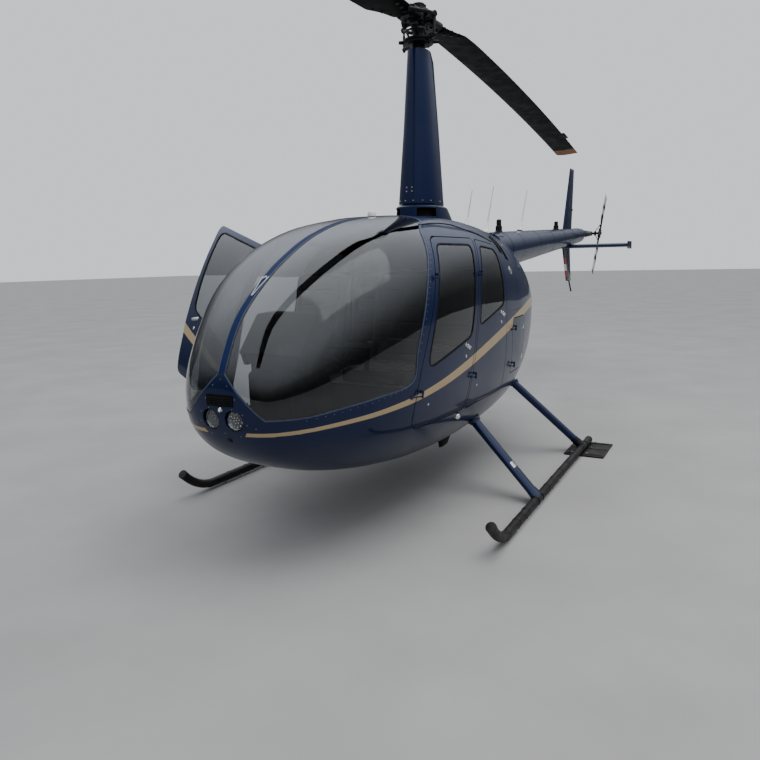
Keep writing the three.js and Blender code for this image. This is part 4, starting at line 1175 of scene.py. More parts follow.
def build_main_blade(name, turn):
    place_on = ROTOR @ Matrix.Rotation(turn, 4, "Z")

    def spot(u):
        if u < 0.3:
            return BLADE_ROOT + 0.6 * u / 0.3
        if u < 0.9:
            return BLADE_TAPER_END + (TIP_START - BLADE_TAPER_END) * (u - 0.3) / 0.6
        return TIP_START + 0.05 * (1 - (1 - (u - 0.9) / 0.1) ** 2)

    blade = closed_grid(lambda u, v: blade_point(spot(u), v), 90, 48)
    finished(f"{name}_skin", blade, BLADE, "main_rotor", "blade_paint", name, sharp=60, place=place_on)
    wide = TIP_BAND_END - TIP_BAND
    band = closed_grid(lambda u, v: blade_point(TIP_BAND + wide * u, v, 0.0006), 10, 48, cap=False)
    finished(f"{name}_tip_band", band, AMBER, "main_rotor", "blade_paint", sharp=60, place=place_on)

    def strip_place(u, v):
        radius = STRIP_START + (TIP_BAND - STRIP_START - 0.005) * u
        point = blade_point(radius, (v - 0.5) * 0.17 % 1.0)
        middle = (blade_point(radius, 0.09) + blade_point(radius, 0.91)) / 2
        return point + (point - middle).normalized() * 0.0007

    strip = grid_of(strip_place, 60, 12)
    bmesh.ops.recalc_face_normals(strip, faces=strip.faces)
    finished(f"{name}_leading_strip", strip, BLACK, "main_rotor", "blade_paint", sharp=60, place=place_on)
    tab = bmesh.new()
    add_block(tab, (3.96, -0.034, -0.0016), (4.22, 0.012, 0.0016), 0.001)
    for point in tab.verts:
        edge = blade_point(point.co.x, 0.5)
        point.co.y += edge.y
        point.co.z += edge.z
    fittings = bmesh.new()
    for radius, shares in ((0.29, (0.16, 0.34)), (0.36, (0.14, 0.36)), (0.43, (0.13, 0.37))):
        for share in shares:
            top, low = blade_point(radius, share), blade_point(radius, 1 - share)
            add_rod(fittings, low - Vector((0, 0, 0.006)), top + Vector((0, 0, 0.006)), 0.009, None, 12)
            add_rod(fittings, low - Vector((0, 0, 0.003)), top + Vector((0, 0, 0.003)), 0.014, None, 6)
    finished(f"{name}_trim_tab", tab, BLADE, "main_rotor", "blade_paint", place=place_on)
    finished(f"{name}_root_bolts", fittings, BLACKENED, "main_rotor", "bare_metal", place=place_on)
    horn = bmesh.new()
    add_tube(horn, [(0.3, 0.05, -0.01), (0.24, 0.095, -0.012), (0.17, 0.15, -0.014), (0.112, 0.166, -0.012)], 0.013,
             14)
    add_turned(horn, [(0.008, -0.014), (0.02, -0.014), (0.022, -0.01), (0.022, 0.01), (0.02, 0.014), (0.008, 0.014)],
               (LINK_X, LINK_Y, -0.012), (0.3, 1, 0), 24)
    add_ball(horn, (LINK_X, LINK_Y, -0.012), 0.013)
    add_rod(horn, (0.3, 0.04, -0.012), (0.262, 0.062, -0.012), 0.022, 0.016, 16)
    finished(f"{name}_pitch_horn", horn, BLACK, "main_rotor", "black_metal", recalculate=True, place=place_on)
    boot = bmesh.new()
    rings = [(0.034 + 0.004 * (k % 2), 0.075 + 0.009 * k) for k in range(9)]
    add_turned(boot, [(0.0, 0.074), *rings, (0.0, 0.157)], ORIGIN, X_AXIS, 28)
    finished(f"{name}_hinge_boot", boot, RUBBER, "main_rotor", "black_metal", recalculate=True, place=place_on)


def build_hub():
    def yoke_place(u, v):
        along = -0.2355 + 0.471 * u
        reach = abs(along)
        half = 0.05 + 0.04 * min(1, reach / 0.12) - 0.002 * max(0, reach - 0.12) / 0.12
        thick = 0.027 + 0.005 * min(1, reach / 0.2)
        angle = FULL_TURN * v
        c, s = math.cos(angle), math.sin(angle)
        shift = -0.014 * min(1, reach / 0.236)
        y = math.copysign(abs(c) ** 0.55, c) * half + shift * (1 if along > 0 else -1)
        return Vector((along, y, math.copysign(abs(s) ** 0.45, s) * thick + (0.006 if reach > 0.14 else 0)))

    yoke = closed_grid(yoke_place, 40, 44)
    finished("rotor_yoke", yoke, BLACK, "main_rotor", "black_metal", "rotor_hub", sharp=40, place=ROTOR)
    core = bmesh.new()
    add_turned(core, [
        (0, -0.042), (0.052, -0.042), (0.06, -0.036), (0.06, 0.03), (0.084, 0.036), (0.084, 0.062), (0.08, 0.066),
        (0.058, 0.066), (0.056, 0.082), (0.047, 0.084), (0.047, 0.108), (0.043, 0.112), (0.02, 0.115), (0, 0.115),
    ], ORIGIN, Z_AXIS, 40)
    add_rod(core, (0, 0, 0.07), (0, 0, 0.098), 0.062, None, 6)
    add_rod(core, (0, -0.128, 0), (0, 0.128, 0), 0.03, None, 24)
    for side in (1, -1):
        add_rod(core, (0, side * 0.095, 0), (0, side * 0.128, 0), 0.034, 0.031, 28)
        add_rod(core, (0, side * 0.1, 0), (0, side * 0.122, 0), 0.04, None, 6)
        for angle in range(0, 360, 60):
            a = math.radians(angle)
            spot = Vector((0.021 * math.cos(a), side * 0.126, 0.021 * math.sin(a)))
            add_rod(core, spot, spot + Vector((0, side * 0.005, 0)), 0.004, None, 8)
    finished("rotor_teeter_core", core, BLACK, "main_rotor", "black_metal", recalculate=True, place=ROTOR)
    bolts = bmesh.new()
    for side in (1, -1):
        for x, y in ((0.115, 0.045), (0.115, -0.055), (0.205, 0.03), (0.205, -0.062)):
            spot = Vector((side * x, side * y, 0.004))
            add_rod(bolts, spot - Vector((0, 0, 0.043)), spot + Vector((0, 0, 0.043)), 0.0085, None, 14)
            add_rod(bolts, spot - Vector((0, 0, 0.037)), spot + Vector((0, 0, 0.037)), 0.0145, None, 6)
    finished("rotor_hub_bolts", bolts, BLACKENED, "main_rotor", "bare_metal", place=ROTOR)
    stops = bmesh.new()
    for side in (1, -1):
        add_block(stops, (side * 0.085 - 0.02, -0.03, -0.052), (side * 0.085 + 0.02, 0.03, -0.026), 0.006)
        add_block(stops, (side * 0.155 - 0.03, -0.022, 0.034), (side * 0.155 + 0.03, 0.012, 0.048), 0.005)
    finished("rotor_droop_stops", stops, CAST, "main_rotor", "black_metal", place=ROTOR)


def build_mast():
    shape = bmesh.new()
    low, high = 3.1503 - ROTOR_HEIGHT, -0.0423
    add_turned(shape, [
        (0, low), (0.046, low), (0.046, -0.125), (0.043, -0.12), (0.043, -0.075), (0.046, -0.07),
        (0.046, high), (0, high),
    ], ORIGIN, Z_AXIS, 40)
    finished("mast_tube", shape, BLACK, "main_rotor", "black_metal", "rotor_mast", recalculate=True, place=ROTOR)
    plate = bmesh.new()
    add_turned(plate, [
        (0.0465, -0.172), (0.09, -0.172), (0.108, -0.166), (0.112, -0.16), (0.112, -0.154), (0.104, -0.152),
        (0.104, -0.148), (0.112, -0.146), (0.112, -0.136), (0.106, -0.13), (0.086, -0.128), (0.0465, -0.128),
    ], ORIGIN, Z_AXIS, 48)
    for side in (1, -1):
        add_rod(plate, (side * 0.05, side * 0.078, -0.15), (side * LINK_X, side * LINK_Y, -0.15), 0.018, 0.014, 16)
        add_ball(plate, (side * LINK_X, side * LINK_Y, -0.15), 0.0165)
        add_rod(plate, (side * -0.04, side * 0.095, -0.15), (side * -0.062, side * 0.135, -0.15), 0.015, 0.012, 14)
        for x, y in ((0.075, -0.045), (-0.02, -0.09)):
            add_rod(plate, (side * x, side * y, -0.176), (side * x, side * y, -0.124), 0.007, None, 12)
    finished("swashplate_rings", plate, BLACK, "main_rotor", "black_metal", "swashplate",
             recalculate=True, place=ROTOR)
    links = bmesh.new()
    for side in (1, -1):
        x, y = side * LINK_X, side * LINK_Y
        add_rod(links, (x, y, -0.172), (x, y, -0.026), 0.0075, None, 14)
        add_rod(links, (x, y, -0.13), (x, y, -0.06), 0.0098, None, 14)
        for z in (-0.132, -0.058):
            add_rod(links, (x, y, z - 0.005), (x, y, z + 0.005), 0.0098, None, 6)
        for z in (-0.16, -0.028):
            add_turned(links, [(0.005, -0.007), (0.0098, -0.007), (0.0098, 0.007), (0.005, 0.007)],
                       (x, y, z), (side * 0.5, side * 0.85, 0), 20)
    finished("pitch_links", links, BLACKENED, "main_rotor", "black_metal", recalculate=True, place=ROTOR)
    scissors = bmesh.new()
    for side in (1, -1):
        elbow = Vector((side * 0.118, side * -0.052, -0.095))
        add_rod(scissors, (side * 0.085, side * -0.04, -0.132), elbow, 0.008, 0.007, 12)
        add_rod(scissors, elbow, (side * 0.048, side * -0.022, -0.06), 0.007, 0.008, 12)
        add_rod(scissors, elbow + Vector((-0.01, -0.02, 0)) * side, elbow + Vector((0.01, 0.02, 0)) * side,
                0.0085, None, 14)
    add_turned(scissors, [(0.0455, -0.069), (0.056, -0.066), (0.056, -0.052), (0.0455, -0.049)], ORIGIN, Z_AXIS, 36)
    finished("swashplate_scissors", scissors, CAST, "main_rotor", "black_metal", recalculate=True, place=ROTOR)


# Tail
CONE_FRONT, CONE_AFT = (-1.5, 1.684, 0.195), (-5.56, 1.952, 0.105)
UPPER_FIN = ((1.96, -4.64, -5.15, 0.05), (2.855, -4.985, -5.225, 0.026))
LOWER_FIN = ((1.3, -4.915, -5.2, 0.028), (1.88, -4.585, -5.06, 0.046))
STABILIZER_SPAN, STABILIZER_Z, STABILIZER_SECTION = 0.845, 1.781, (-4.68, -5.0, 0.055, 1.0)


def cone_at(station):
    share = (station - CONE_FRONT[0]) / (CONE_AFT[0] - CONE_FRONT[0])
    return [a + (b - a) * share for a, b in zip(CONE_FRONT[1:], CONE_AFT[1:])]


def cone_point(station, angle, lift=0.0):
    middle, radius = cone_at(station)
    radius += lift
    return at(station, radius * math.sin(angle), middle + radius * math.cos(angle))


LAPS = (-2.25, -2.95, -3.62, -4.27, -4.85, -5.32)


def build_tail_cone():
    def place(u, v):
        station = CONE_FRONT[0] + (CONE_AFT[0] - CONE_FRONT[0]) * u
        return cone_point(station, FULL_TURN * v)

    finished("tail_cone_skin", closed_grid(place, 60, 64), BLUE, "root", "blue_paint", "tail_cone", sharp=50)
    bands = bmesh.new()
    for station in LAPS:
        def lap_place(u, v, station=station):
            return cone_point(station - 0.028 * u, FULL_TURN * v,
                              0.0012 * math.sin(math.pi * min(1, 0.12 + u) ** 0.35))

        join(bands, closed_grid(lap_place, 6, 64, cap=False))
    finished("tail_cone_laps", bands, BLUE, "root", "blue_paint")
    studs = bmesh.new()
    for station in LAPS:
        count = max(20, int(FULL_TURN * cone_at(station)[1] / 0.032))
        for step in range(count):
            point = cone_point(station - 0.014, FULL_TURN * step / count, 0.001)
            add_stud(studs, point, cone_axis_away(step / count), 0.0032)
    for step in range(110):
        station = -1.62 - (5.48 - 1.62) * step / 109
        for angle in (math.pi * 0.78, -math.pi * 0.78):
            add_stud(studs, cone_point(station, angle), cone_axis_away(angle / FULL_TURN), 0.0028)
    finished("tail_cone_rivets", studs, BLUE, "root", "blue_paint")

    def root_place(u, v):
        return cone_point(-1.8 - 0.03 * u, FULL_TURN * v, 0.004 * math.sin(math.pi * (0.08 + 0.84 * u)))

    band = closed_grid(root_place, 8, 64, cap=False)
    finished("tail_cone_root_band", band, BLUE, "root", "black_metal")


def cone_axis_away(share):
    angle = FULL_TURN * share
    return Vector((0, math.sin(angle), math.cos(angle)))


def add_stud(shape, point, away, radius):
    """A low domed rivet or screw head."""
    turn = Vector(away).to_track_quat("Z", "Y").to_matrix().to_4x4()
    bmesh.ops.create_cone(
        shape, cap_ends=True, segments=7, radius1=radius, radius2=radius * 0.55, depth=radius * 0.7,
        matrix=Matrix.Translation(Vector(point) + Vector(away) * radius * 0.15) @ turn,
    )


def fin_shape(rows):
    low, high = rows[0][0], rows[-1][0]
    rounding = 0.012

    def place(u, v):
        height = low + (high - low) * u
        row = row_at(rows, height) + [1.0]
        edge = min(height - low, high - height)
        row[2] *= math.sqrt(max(0.04, 1 - max(0, 1 - edge / rounding) ** 2))
        fore, side = wing_section(row, v)
        return at(fore, side, height)

    return closed_grid(place, 40, 44)


def chord_share(part):
    """Where round a wing section a part of the chord lies, on the upper side."""
    return math.acos(1 - 2 * part) / FULL_TURN


def build_fins():
    finished("upper_fin_skin", fin_shape(UPPER_FIN), BLUE, "root", "blue_paint", "upper_fin", sharp=60)
    finished("lower_fin_skin", fin_shape(LOWER_FIN), BLUE, "root", "blue_paint", "lower_fin", sharp=60)
    for name, look, low, high in (("red", RED, 1.36, 1.45), ("white", WHITE, 1.45, 1.54),
                                  ("red_upper", RED, 1.54, 1.63)):
        def place(u, v, low=low, high=high):
            height = low + (high - low) * u
            row = row_at(LOWER_FIN, height) + [1.0]
            share = (v - 0.5) * 0.24
            fore, side = wing_section(row, share % 1.0)
            return at(fore + 0.0008, side * 1.03 + math.copysign(0.0004, side), height)

        band = grid_of(place, 6, 16)
        bmesh.ops.recalc_face_normals(band, faces=band.faces)
        finished(f"lower_fin_{name}_band", band, look, "root", "blue_paint", sharp=60)
    skid = bmesh.new()
    add_tube(skid, [at(-5.045, 0, 1.345), at(-5.12, 0, 1.262), at(-5.19, 0, 1.192), at(-5.232, 0, 1.152)], 0.0105, 14)
    add_ball(skid, at(-5.231, 0, 1.153), 0.0125)
    finished("tail_skid", skid, BLACK, "root", "black_metal", recalculate=True)

    def plane_place(u, v):
        across = STABILIZER_SPAN * (2 * u - 1)
        fore, up = wing_section(STABILIZER_SECTION, v)
        return at(fore, across, STABILIZER_Z + up)

    finished("stabilizer_skin", closed_grid(plane_place, 50, 44), BLUE, "root", "blue_paint",
             "tail_stabilizer", sharp=60)
    plates = bmesh.new()
    for side in (1, -1):
        right, left = sorted((side * (STABILIZER_SPAN + 0.005), side * (STABILIZER_SPAN - 0.002)))
        add_block(plates, at(-5.012, right, STABILIZER_Z - 0.05), at(-4.668, left, STABILIZER_Z + 0.05), 0.003)
    finished("stabilizer_end_plates", plates, BLUE, "root", "blue_paint")

    def saddle_place(u, v):
        return cone_point(-4.6 - 0.5 * u, math.pi * (0.72 + 0.56 * v), 0.0022)

    saddle = closed_grid(saddle_place, 12, 20, cap=False)
    finished("stabilizer_saddle", saddle, BLUE, "root", "blue_paint")
    studs = bmesh.new()
    for side in (1, -1):
        for station in (-4.74, -4.92):
            for step in range(17):
                across = side * (0.16 + 0.04 * step)
                _, up = wing_section(STABILIZER_SECTION, chord_share((-4.68 - station) / 0.32))
                for sign in (1, -1):
                    add_stud(studs, at(station, across, STABILIZER_Z + sign * up), (0, 0, sign), 0.0028)
        for table, low, high in ((UPPER_FIN, 2.08, 2.8), (LOWER_FIN, 1.36, 1.74)):
            for step in range(16):
                height = low + (high - low) * step / 15
                front, rear, thick = row_at(table, height)
                for part in (0.22, 0.7):
                    _, away = wing_section((front, rear, thick, 1.0), chord_share(part))
                    add_stud(studs, at(front + (rear - front) * part, side * away, height), (0, side, 0), 0.0028)
    finished("tail_rivets", studs, BLUE, "root", "blue_paint")


TAIL_HUB, TAIL_RADIUS = at(-5.865, 0.262, 1.984), 0.72
TAIL_ROTOR = Matrix.Translation(TAIL_HUB) @ Matrix.Rotation(-math.radians(90 - 50), 4, "Y")


def build_tail_rotor():
    box = bmesh.new()
    aft, level = -5.56 + MAST, 1.952
    add_turned(box, [
        (0, 0), (0.1, 0), (0.104, 0.004), (0.104, 0.02), (0.096, 0.026), (0.084, 0.03), (0.083, 0.1), (0.074, 0.17),
        (0.068, 0.215), (0, 0.215),
    ], (aft, 0, level), (-1, 0, 0.12), 40)
    add_turned(box, [
        (0, 0), (0.07, 0), (0.07, 0.02), (0.064, 0.03), (0.066, 0.075), (0.058, 0.13), (0.052, 0.172),
        (0.03, 0.18), (0, 0.18),
    ], at(-5.77, 0, 1.976), (-1, 0, 0.045), 36)
    add_turned(box, [(0, 0), (0.05, 0), (0.05, 0.07), (0.044, 0.078), (0.044, 0.1), (0.036, 0.112),
                     (0.034, 0.15), (0, 0.15)],
               (TAIL_HUB.x, 0, TAIL_HUB.z), Y_AXIS, 32)
    for step in range(7):
        x = -5.645 + MAST - 0.018 * step
        add_turned(box, [(0.06, -0.002), (0.083 - 0.0025 * step, -0.002), (0.083 - 0.0025 * step, 0.002),
                         (0.06, 0.002)],
                   (x, 0, 1.962 + 0.0022 * step), (-1, 0, 0.12), 36)
    finished("tail_gearbox_case", box, CAST, "root", "bare_metal", "tail_gearbox", recalculate=True)
    bolts = bmesh.new()
    for step in range(12):
        a = FULL_TURN * step / 12
        spot = Vector((aft - 0.02, 0.092 * math.sin(a), level + 0.003 + 0.092 * math.cos(a)))
        add_rod(bolts, spot, spot - Vector((0.01, 0, 0)), 0.006, None, 6)
    add_rod(bolts, at(-5.86, 0, 2.035), at(-5.86, 0, 2.058), 0.016, 0.013, 20)
    finished("tail_gearbox_bolts", bolts, STEEL, "root", "bare_metal")
    hub = bmesh.new()
    add_rod(hub, (0, -0.112 + 0.0005, 0), (0, 0.03, 0), 0.017, None, 24)
    add_block(hub, (-0.028, -0.018, -0.074), (0.028, 0.018, 0.074), 0.006, 3)
    add_turned(hub, [(0, -0.022), (0.027, -0.022), (0.03, -0.016), (0.03, 0.012), (0.022, 0.024), (0.01, 0.03),
                     (0, 0.03)], ORIGIN, Y_AXIS, 28)
    add_turned(hub, [(0.018, -0.074), (0.034, -0.074), (0.036, -0.068), (0.036, -0.056), (0.02, -0.05),
                     (0.018, -0.05)], ORIGIN, Y_AXIS, 28)
    for side in (1, -1):
        add_rod(hub, (side * 0.034, -0.06, side * 0.01), (side * 0.046, -0.008, side * 0.115), 0.0055, None, 12)
        add_ball(hub, (side * 0.046, -0.006, side * 0.118), 0.009)
        add_rod(hub, (side * 0.018, -0.004, side * 0.118), (side * 0.05, -0.006, side * 0.118), 0.007, None, 12)
        add_rod(hub, (-0.032, 0, side * 0.052), (0.032, 0, side * 0.052), 0.008, None, 12)
    finished("tail_rotor_yoke", hub, BLACK, "tail_rotor", "bare_metal", "tail_rotor_hub", recalculate=True,
             place=TAIL_ROTOR)
    for name, turn in (("tail_blade_upper", 0), ("tail_blade_lower", math.pi)):
        place_on = TAIL_ROTOR @ Matrix.Rotation(turn, 4, "Y")

        def spot(u, v, swell=0.0, low=0.075, high=TAIL_RADIUS):
            radius = low + (high - low) * u
            row = row_at(TAIL_BLADE_ROWS, radius)
            edge = max(0, 1 - (TAIL_RADIUS - radius) / 0.006)
            row[2] *= math.sqrt(max(0.08, 1 - edge * edge))
            fore, up = wing_section(row, v)
            return Vector((-fore - math.copysign(swell, fore), up + math.copysign(swell, up), radius))

        blade = closed_grid(spot, 56, 40)
        finished(f"{name}_skin", blade, BLADE, "tail_rotor", "blade_paint", name, sharp=60, place=place_on)
        for number, (low, high) in enumerate(((0.33, 0.43), (0.52, 0.712)), 1):
            band = closed_grid(lambda u, v, a=low, b=high: spot(u, v, 0.0005, a, b), 6, 40, cap=False)
            finished(f"{name}_band_{number}", band, PALE_BLADE, "tail_rotor", "blade_paint", sharp=60, place=place_on)


# Skids and struts
SKID_Y, SKID_RADIUS, SKID_HEIGHT = 1.12, 0.03, 0.0423
SKID_TIP, SKID_TIP_HEIGHT, SKID_END = 1.56, 0.19, -1.06
SLEEVE_RADIUS, COLLAR_RADIUS = 0.0312, 0.0335
PAD_RIBS = (-1.05, -0.87, -0.68)
STRUT_SECTION, STRUT_TOP_Y = (0.0488, -0.0732, 0.044), 0.62
# Station and height of each strut's foot and of its top, at the hull
STRUTS = (("front", (0.606, 0.045), (0.44, 0.48)), ("aft", (-0.797, 0.045), (-0.49, 0.6)))


def build_gear():
    for side, hand in SIDES:
        y = side * SKID_Y
        tip, end = at(SKID_TIP, y, SKID_TIP_HEIGHT), at(SKID_END, y, SKID_HEIGHT)
        path = [tip]
        for step in range(1, 6):
            t = 1 - step / 5
            path.append(at(1.24 + 0.32 * t, y, SKID_HEIGHT + (SKID_TIP_HEIGHT - SKID_HEIGHT) * t ** 2.2))
        path += [at(x, y, SKID_HEIGHT) for x in (0.6, 0.0, -0.55)] + [end]
        rail = bmesh.new()
        add_tube(rail, path, SKID_RADIUS, 28, 5)
        finished(f"{hand}_skid_rail", rail, SKID_BLACK, "root", "black_metal", f"{hand}_skid")
        caps = bmesh.new()
        drop = SKID_TIP_HEIGHT - (SKID_HEIGHT + (SKID_TIP_HEIGHT - SKID_HEIGHT) * 0.8 ** 2.2)
        lead = Vector((0.32 / 5, 0, drop)).normalized()
        front_cap = [(0, -0.03), (SLEEVE_RADIUS, -0.03), (0.0316, -0.002), (0.028, 0.0), (0, 0.0005)]
        rear_cap = [(0, -0.02), (SLEEVE_RADIUS, -0.02), (SLEEVE_RADIUS, -0.001), (0.028, 0.0), (0, 0.0)]
        add_turned(caps, front_cap, tip, lead, 28)
        add_turned(caps, rear_cap, end, (-1, 0, 0), 28)
        finished(f"{hand}_skid_caps", caps, SKID_BLACK, "root", "black_metal", recalculate=True)
        shoe = bmesh.new()
        for low, high in ((0.13, 1.13), (-0.52, 0.08)):
            add_block(shoe, at(low, y - 0.02, 0.0005), at(high, y + 0.02, 0.016), 0.004)
            add_block(shoe, at(low + 0.01, y - 0.024, 0.014), at(high - 0.01, y + 0.024, 0.019), 0.002)
        finished(f"{hand}_skid_shoes", shoe, STEEL, "root", "black_metal")
        straps = bmesh.new()
        for x in (1.08, 0.88, 0.36, 0.18, -0.02, -0.46):
            join(straps, clamp_round(x, y, SLEEVE_RADIUS))
        for x in (0.56, 0.66, -0.72, -0.88):
            join(straps, clamp_round(x, y, COLLAR_RADIUS))
        finished(f"{hand}_skid_clamps", straps, BLACK, "root", "black_metal", recalculate=True)
        pad = bmesh.new()
        right, left = sorted((side * 1.0, side * 1.32))
        add_block(pad, at(-1.09, right, 0), at(-0.64, left, 0.014), 0.004)
        for x in PAD_RIBS:
            add_block(pad, at(x - 0.012, right + 0.012, 0.012), at(x + 0.012, left - 0.012, 0.018), 0.002)
        finished(f"{hand}_settling_pad", pad, SKID_BLACK, "root", "black_metal")
        bolts = bmesh.new()
        for x in PAD_RIBS:
            for dy in (-0.06, 0.06):
                add_rod(bolts, at(x, y + dy, 0.016), at(x, y + dy, 0.025), 0.008, None, 6)
                add_rod(bolts, at(x, y + dy, 0.016), at(x, y + dy, 0.029), 0.0045, None, 10)
        finished(f"{hand}_pad_bolts", bolts, STEEL, "root", "bare_metal")
        for name, foot, top in STRUTS:
            build_strut(f"{name}_{hand}", side, *strut_ends(side, foot, top))


def clamp_round(station, y, radius):
    shape = bmesh.new()
    add_turned(shape, [(radius - 0.003, -0.014), (radius, -0.014), (radius + 0.001, 0), (radius, 0.014),
                       (radius - 0.003, 0.014)],
               at(station, y, SKID_HEIGHT), X_AXIS, 28)
    for point in shape.verts:
        point.co.z = max(point.co.z, 0.001)
    return shape


def strut_ends(side, foot, top):
    return at(foot[0], side * SKID_Y, foot[1]), at(top[0], side * STRUT_TOP_Y, top[1])


def round_strut(centre, side, share, swell=1.0, wing=0.8):
    """A point round a strut's streamlined section, swollen by a factor."""
    fore, up = wing_section((*(swell * size for size in STRUT_SECTION), wing), share)
    return Vector((centre.x + fore, centre.y + up * side, centre.z + up * 0.8))


def build_strut(name, side, foot, top):
    reach = (top - foot) * 1.13

    def place(u, v):
        return round_strut(foot + reach * (0.045 + 0.955 * u), side, v)

    finished(f"{name}_strut_fairing", closed_grid(place, 30, 40), BLUE, "root", "blue_paint",
             f"{name}_strut", sharp=60)

    def foot_place(u, v):
        point = round_strut(foot + reach * (0.015 + 0.075 * u), side, v, 1.16 - 0.1 * u, 0.6)
        point.z = max(0.05, point.z)
        return point

    look, slot = (BLUE, "blue_paint") if name.startswith("front") else (BLACK, "black_metal")
    finished(f"{name}_strut_boot", closed_grid(foot_place, 10, 40), look, "root", slot, sharp=50)

    def cuff_place(u, v):
        return round_strut(foot + (top - foot) * (1.0 + 0.035 * u), side, v, 1.22 + 0.35 * u * u, 0.6)

    finished(f"{name}_strut_cuff", closed_grid(cuff_place, 8, 40, cap=False), BLUE, "root", "blue_paint", sharp=60)


# Fittings on the skin
def skin_frame(station, height, side):
    """A frame on the skin: X forward, Y up, Z outwards on the left and the same mirrored on the right."""
    point = skin_point(station, height, side)
    away = skin_normal(point)
    ahead = (Vector(X_AXIS) - away * away.x).normalized()
    rise = away.cross(ahead) if side > 0 else ahead.cross(away)
    return Matrix.Translation(point) @ Matrix((ahead, rise, away)).transposed().to_4x4()


def snapped(station, across, height, lift=0.0):
    """The skin's point in the direction of a measured one."""
    row = section(station)
    point = ring_point(station, row, math.atan2(across, height - row[3]))
    return point + skin_normal(point) * lift


def roof_point(station):
    return at(station, 0, skin_z(station, 0))


def add_placed(shape, part, place):
    part.transform(place)
    join(shape, part)


def build_hinges():
    for door, side in (("front", 1), ("front", -1), ("rear", 1), ("rear", -1), ("baggage", 1)):
        hand = "left" if side > 0 else "right"
        upper, lower = hinge_pins(door, side)
        rise = (upper - lower).normalized()
        halves = {"door": bmesh.new(), "frame": bmesh.new()}
        half = 0.009 if door == "rear" else 0.013
        for pin, (_, _, reach, hold) in zip((upper, lower), HINGES[door]):
            for name, level, arm in (("door", 1, -hold), ("frame", -1, reach)):
                shape = halves[name]
                near, far = pin + rise * level * 0.0004, pin + rise * level * 0.02
                centre = (near + far) / 2
                station, height = centre.x + arm - MAST, centre.z
                add_rod(shape, near, far, 0.0062, None, 20)
                add_rod(shape, far - rise * level * 0.002, far + rise * level * 0.0015, 0.007, 0.005, 20)
                add_rod(shape, centre, skin_point(station, height, side), 0.0046, 0.0042, 12)
                foot = bmesh.new()
                add_block(foot, (-half, -0.011, -0.001), (half, 0.011, 0.0028), 0.0012)
                for spot in (0.005 - half, half - 0.005):
                    for up in (0.006, -0.006):
                        add_stud(foot, (spot, up, 0.003), Z_AXIS, 0.0024)
                add_placed(shape, foot, skin_frame(station, height, side))
        label = f"{door}_{hand}" if door != "baggage" else "baggage"
        place = OPENED if label == "front_right" else None
        finished(f"{label}_hinge_leaf", halves["door"], BLUE, f"{label}_door_leaf", "black_metal",
                 recalculate=True, place=place)
        finished(f"{label}_hinge_frame", halves["frame"], BLUE, "root", "black_metal", recalculate=True)


def handle_shape():
    shape = bmesh.new()
    add_block(shape, (-0.04, -0.012, -0.002), (0.04, 0.012, 0.0035), 0.0016)
    add_tube(shape, [(-0.028, 0, 0.002), (-0.024, 0, 0.012), (-0.01, 0, 0.016), (0.012, 0, 0.016),
                     (0.034, 0.001, 0.013)], 0.005, 12, 4)
    add_ball(shape, (0.034, 0.001, 0.013), 0.0058)
    return shape


def lock_shape():
    shape = bmesh.new()
    add_turned(shape, [(0, -0.001), (0.0105, -0.001), (0.0105, 0.0022), (0.009, 0.0034), (0.0062, 0.0036),
                       (0.006, 0.0026), (0, 0.0026)],
               ORIGIN, Z_AXIS, 24)
    add_block(shape, (-0.0012, -0.004, 0.002), (0.0012, 0.004, 0.0032))
    return shape


def build_handles():
    spots = {"front": ((0.875, 1.078, -24), (0.905, 1.018), (1.395, 0.8)),
             "rear": ((0.205, 1.235, -24), (0.235, 1.18), (0.7, 0.8))}
    for door, (grip, lock, cam) in spots.items():
        for side, hand in SIDES:
            shape = bmesh.new()
            tilt = Matrix.Rotation(math.radians(grip[2]), 4, "Z")
            add_placed(shape, handle_shape(), skin_frame(grip[0], grip[1], side) @ tilt)
            add_placed(shape, lock_shape(), skin_frame(*lock, side))
            add_placed(shape, lock_shape(), skin_frame(*cam, side) @ Matrix.Scale(0.7, 4))
            inner = bmesh.new()
            frame_in = skin_frame(grip[0] + 0.03, grip[1] - 0.06, side) @ Matrix.Translation((0, 0, -0.026))
            add_tube(inner, [(-0.07, 0, 0.006), (-0.065, 0, -0.018), (-0.03, 0, -0.026), (0.06, 0, -0.026),
                             (0.095, 0, -0.018), (0.1, 0, 0.006)], 0.0085, 14, 5)
            inner.transform(frame_in)
            pocket = bmesh.new()
            add_block(pocket, (-0.15, -0.07, -0.035), (0.15, 0.07, 0.004), 0.012, 3)
            pocket.transform(skin_frame(grip[0] + 0.16, 0.8, side) @ Matrix.Translation((0, 0, -0.026)))
            name = f"{door}_{hand}_door"
            place = OPENED if name == "front_right_door" else None
            for label, part, look, slot in (
                ("handle", shape, CHROME, "bare_metal"), ("pull", inner, RUBBER, "cabin_trim"),
                ("pocket", pocket, TRIM, "cabin_trim"),
            ):
                finished(f"{name}_{label}", part, look, f"{name}_leaf", slot, recalculate=True, place=place)
    latches = bmesh.new()
    for height in (1.09, 0.85):
        small = bmesh.new()
        add_block(small, (-0.016, -0.02, -0.001), (0.016, 0.02, 0.0028), 0.0012)
        add_block(small, (-0.01, -0.013, 0.002), (0.01, 0.013, 0.0045), 0.001)
        add_placed(latches, small, skin_frame(-0.398, height, 1))
    finished("baggage_latches", latches, CHROME, "baggage_door_leaf", "bare_metal", recalculate=True)


def add_studs_at(shape, spots, side, radius=0.003):
    for station, height in spots:
        spot = skin_point(station, height, side)
        add_stud(shape, spot, skin_normal(spot), radius)


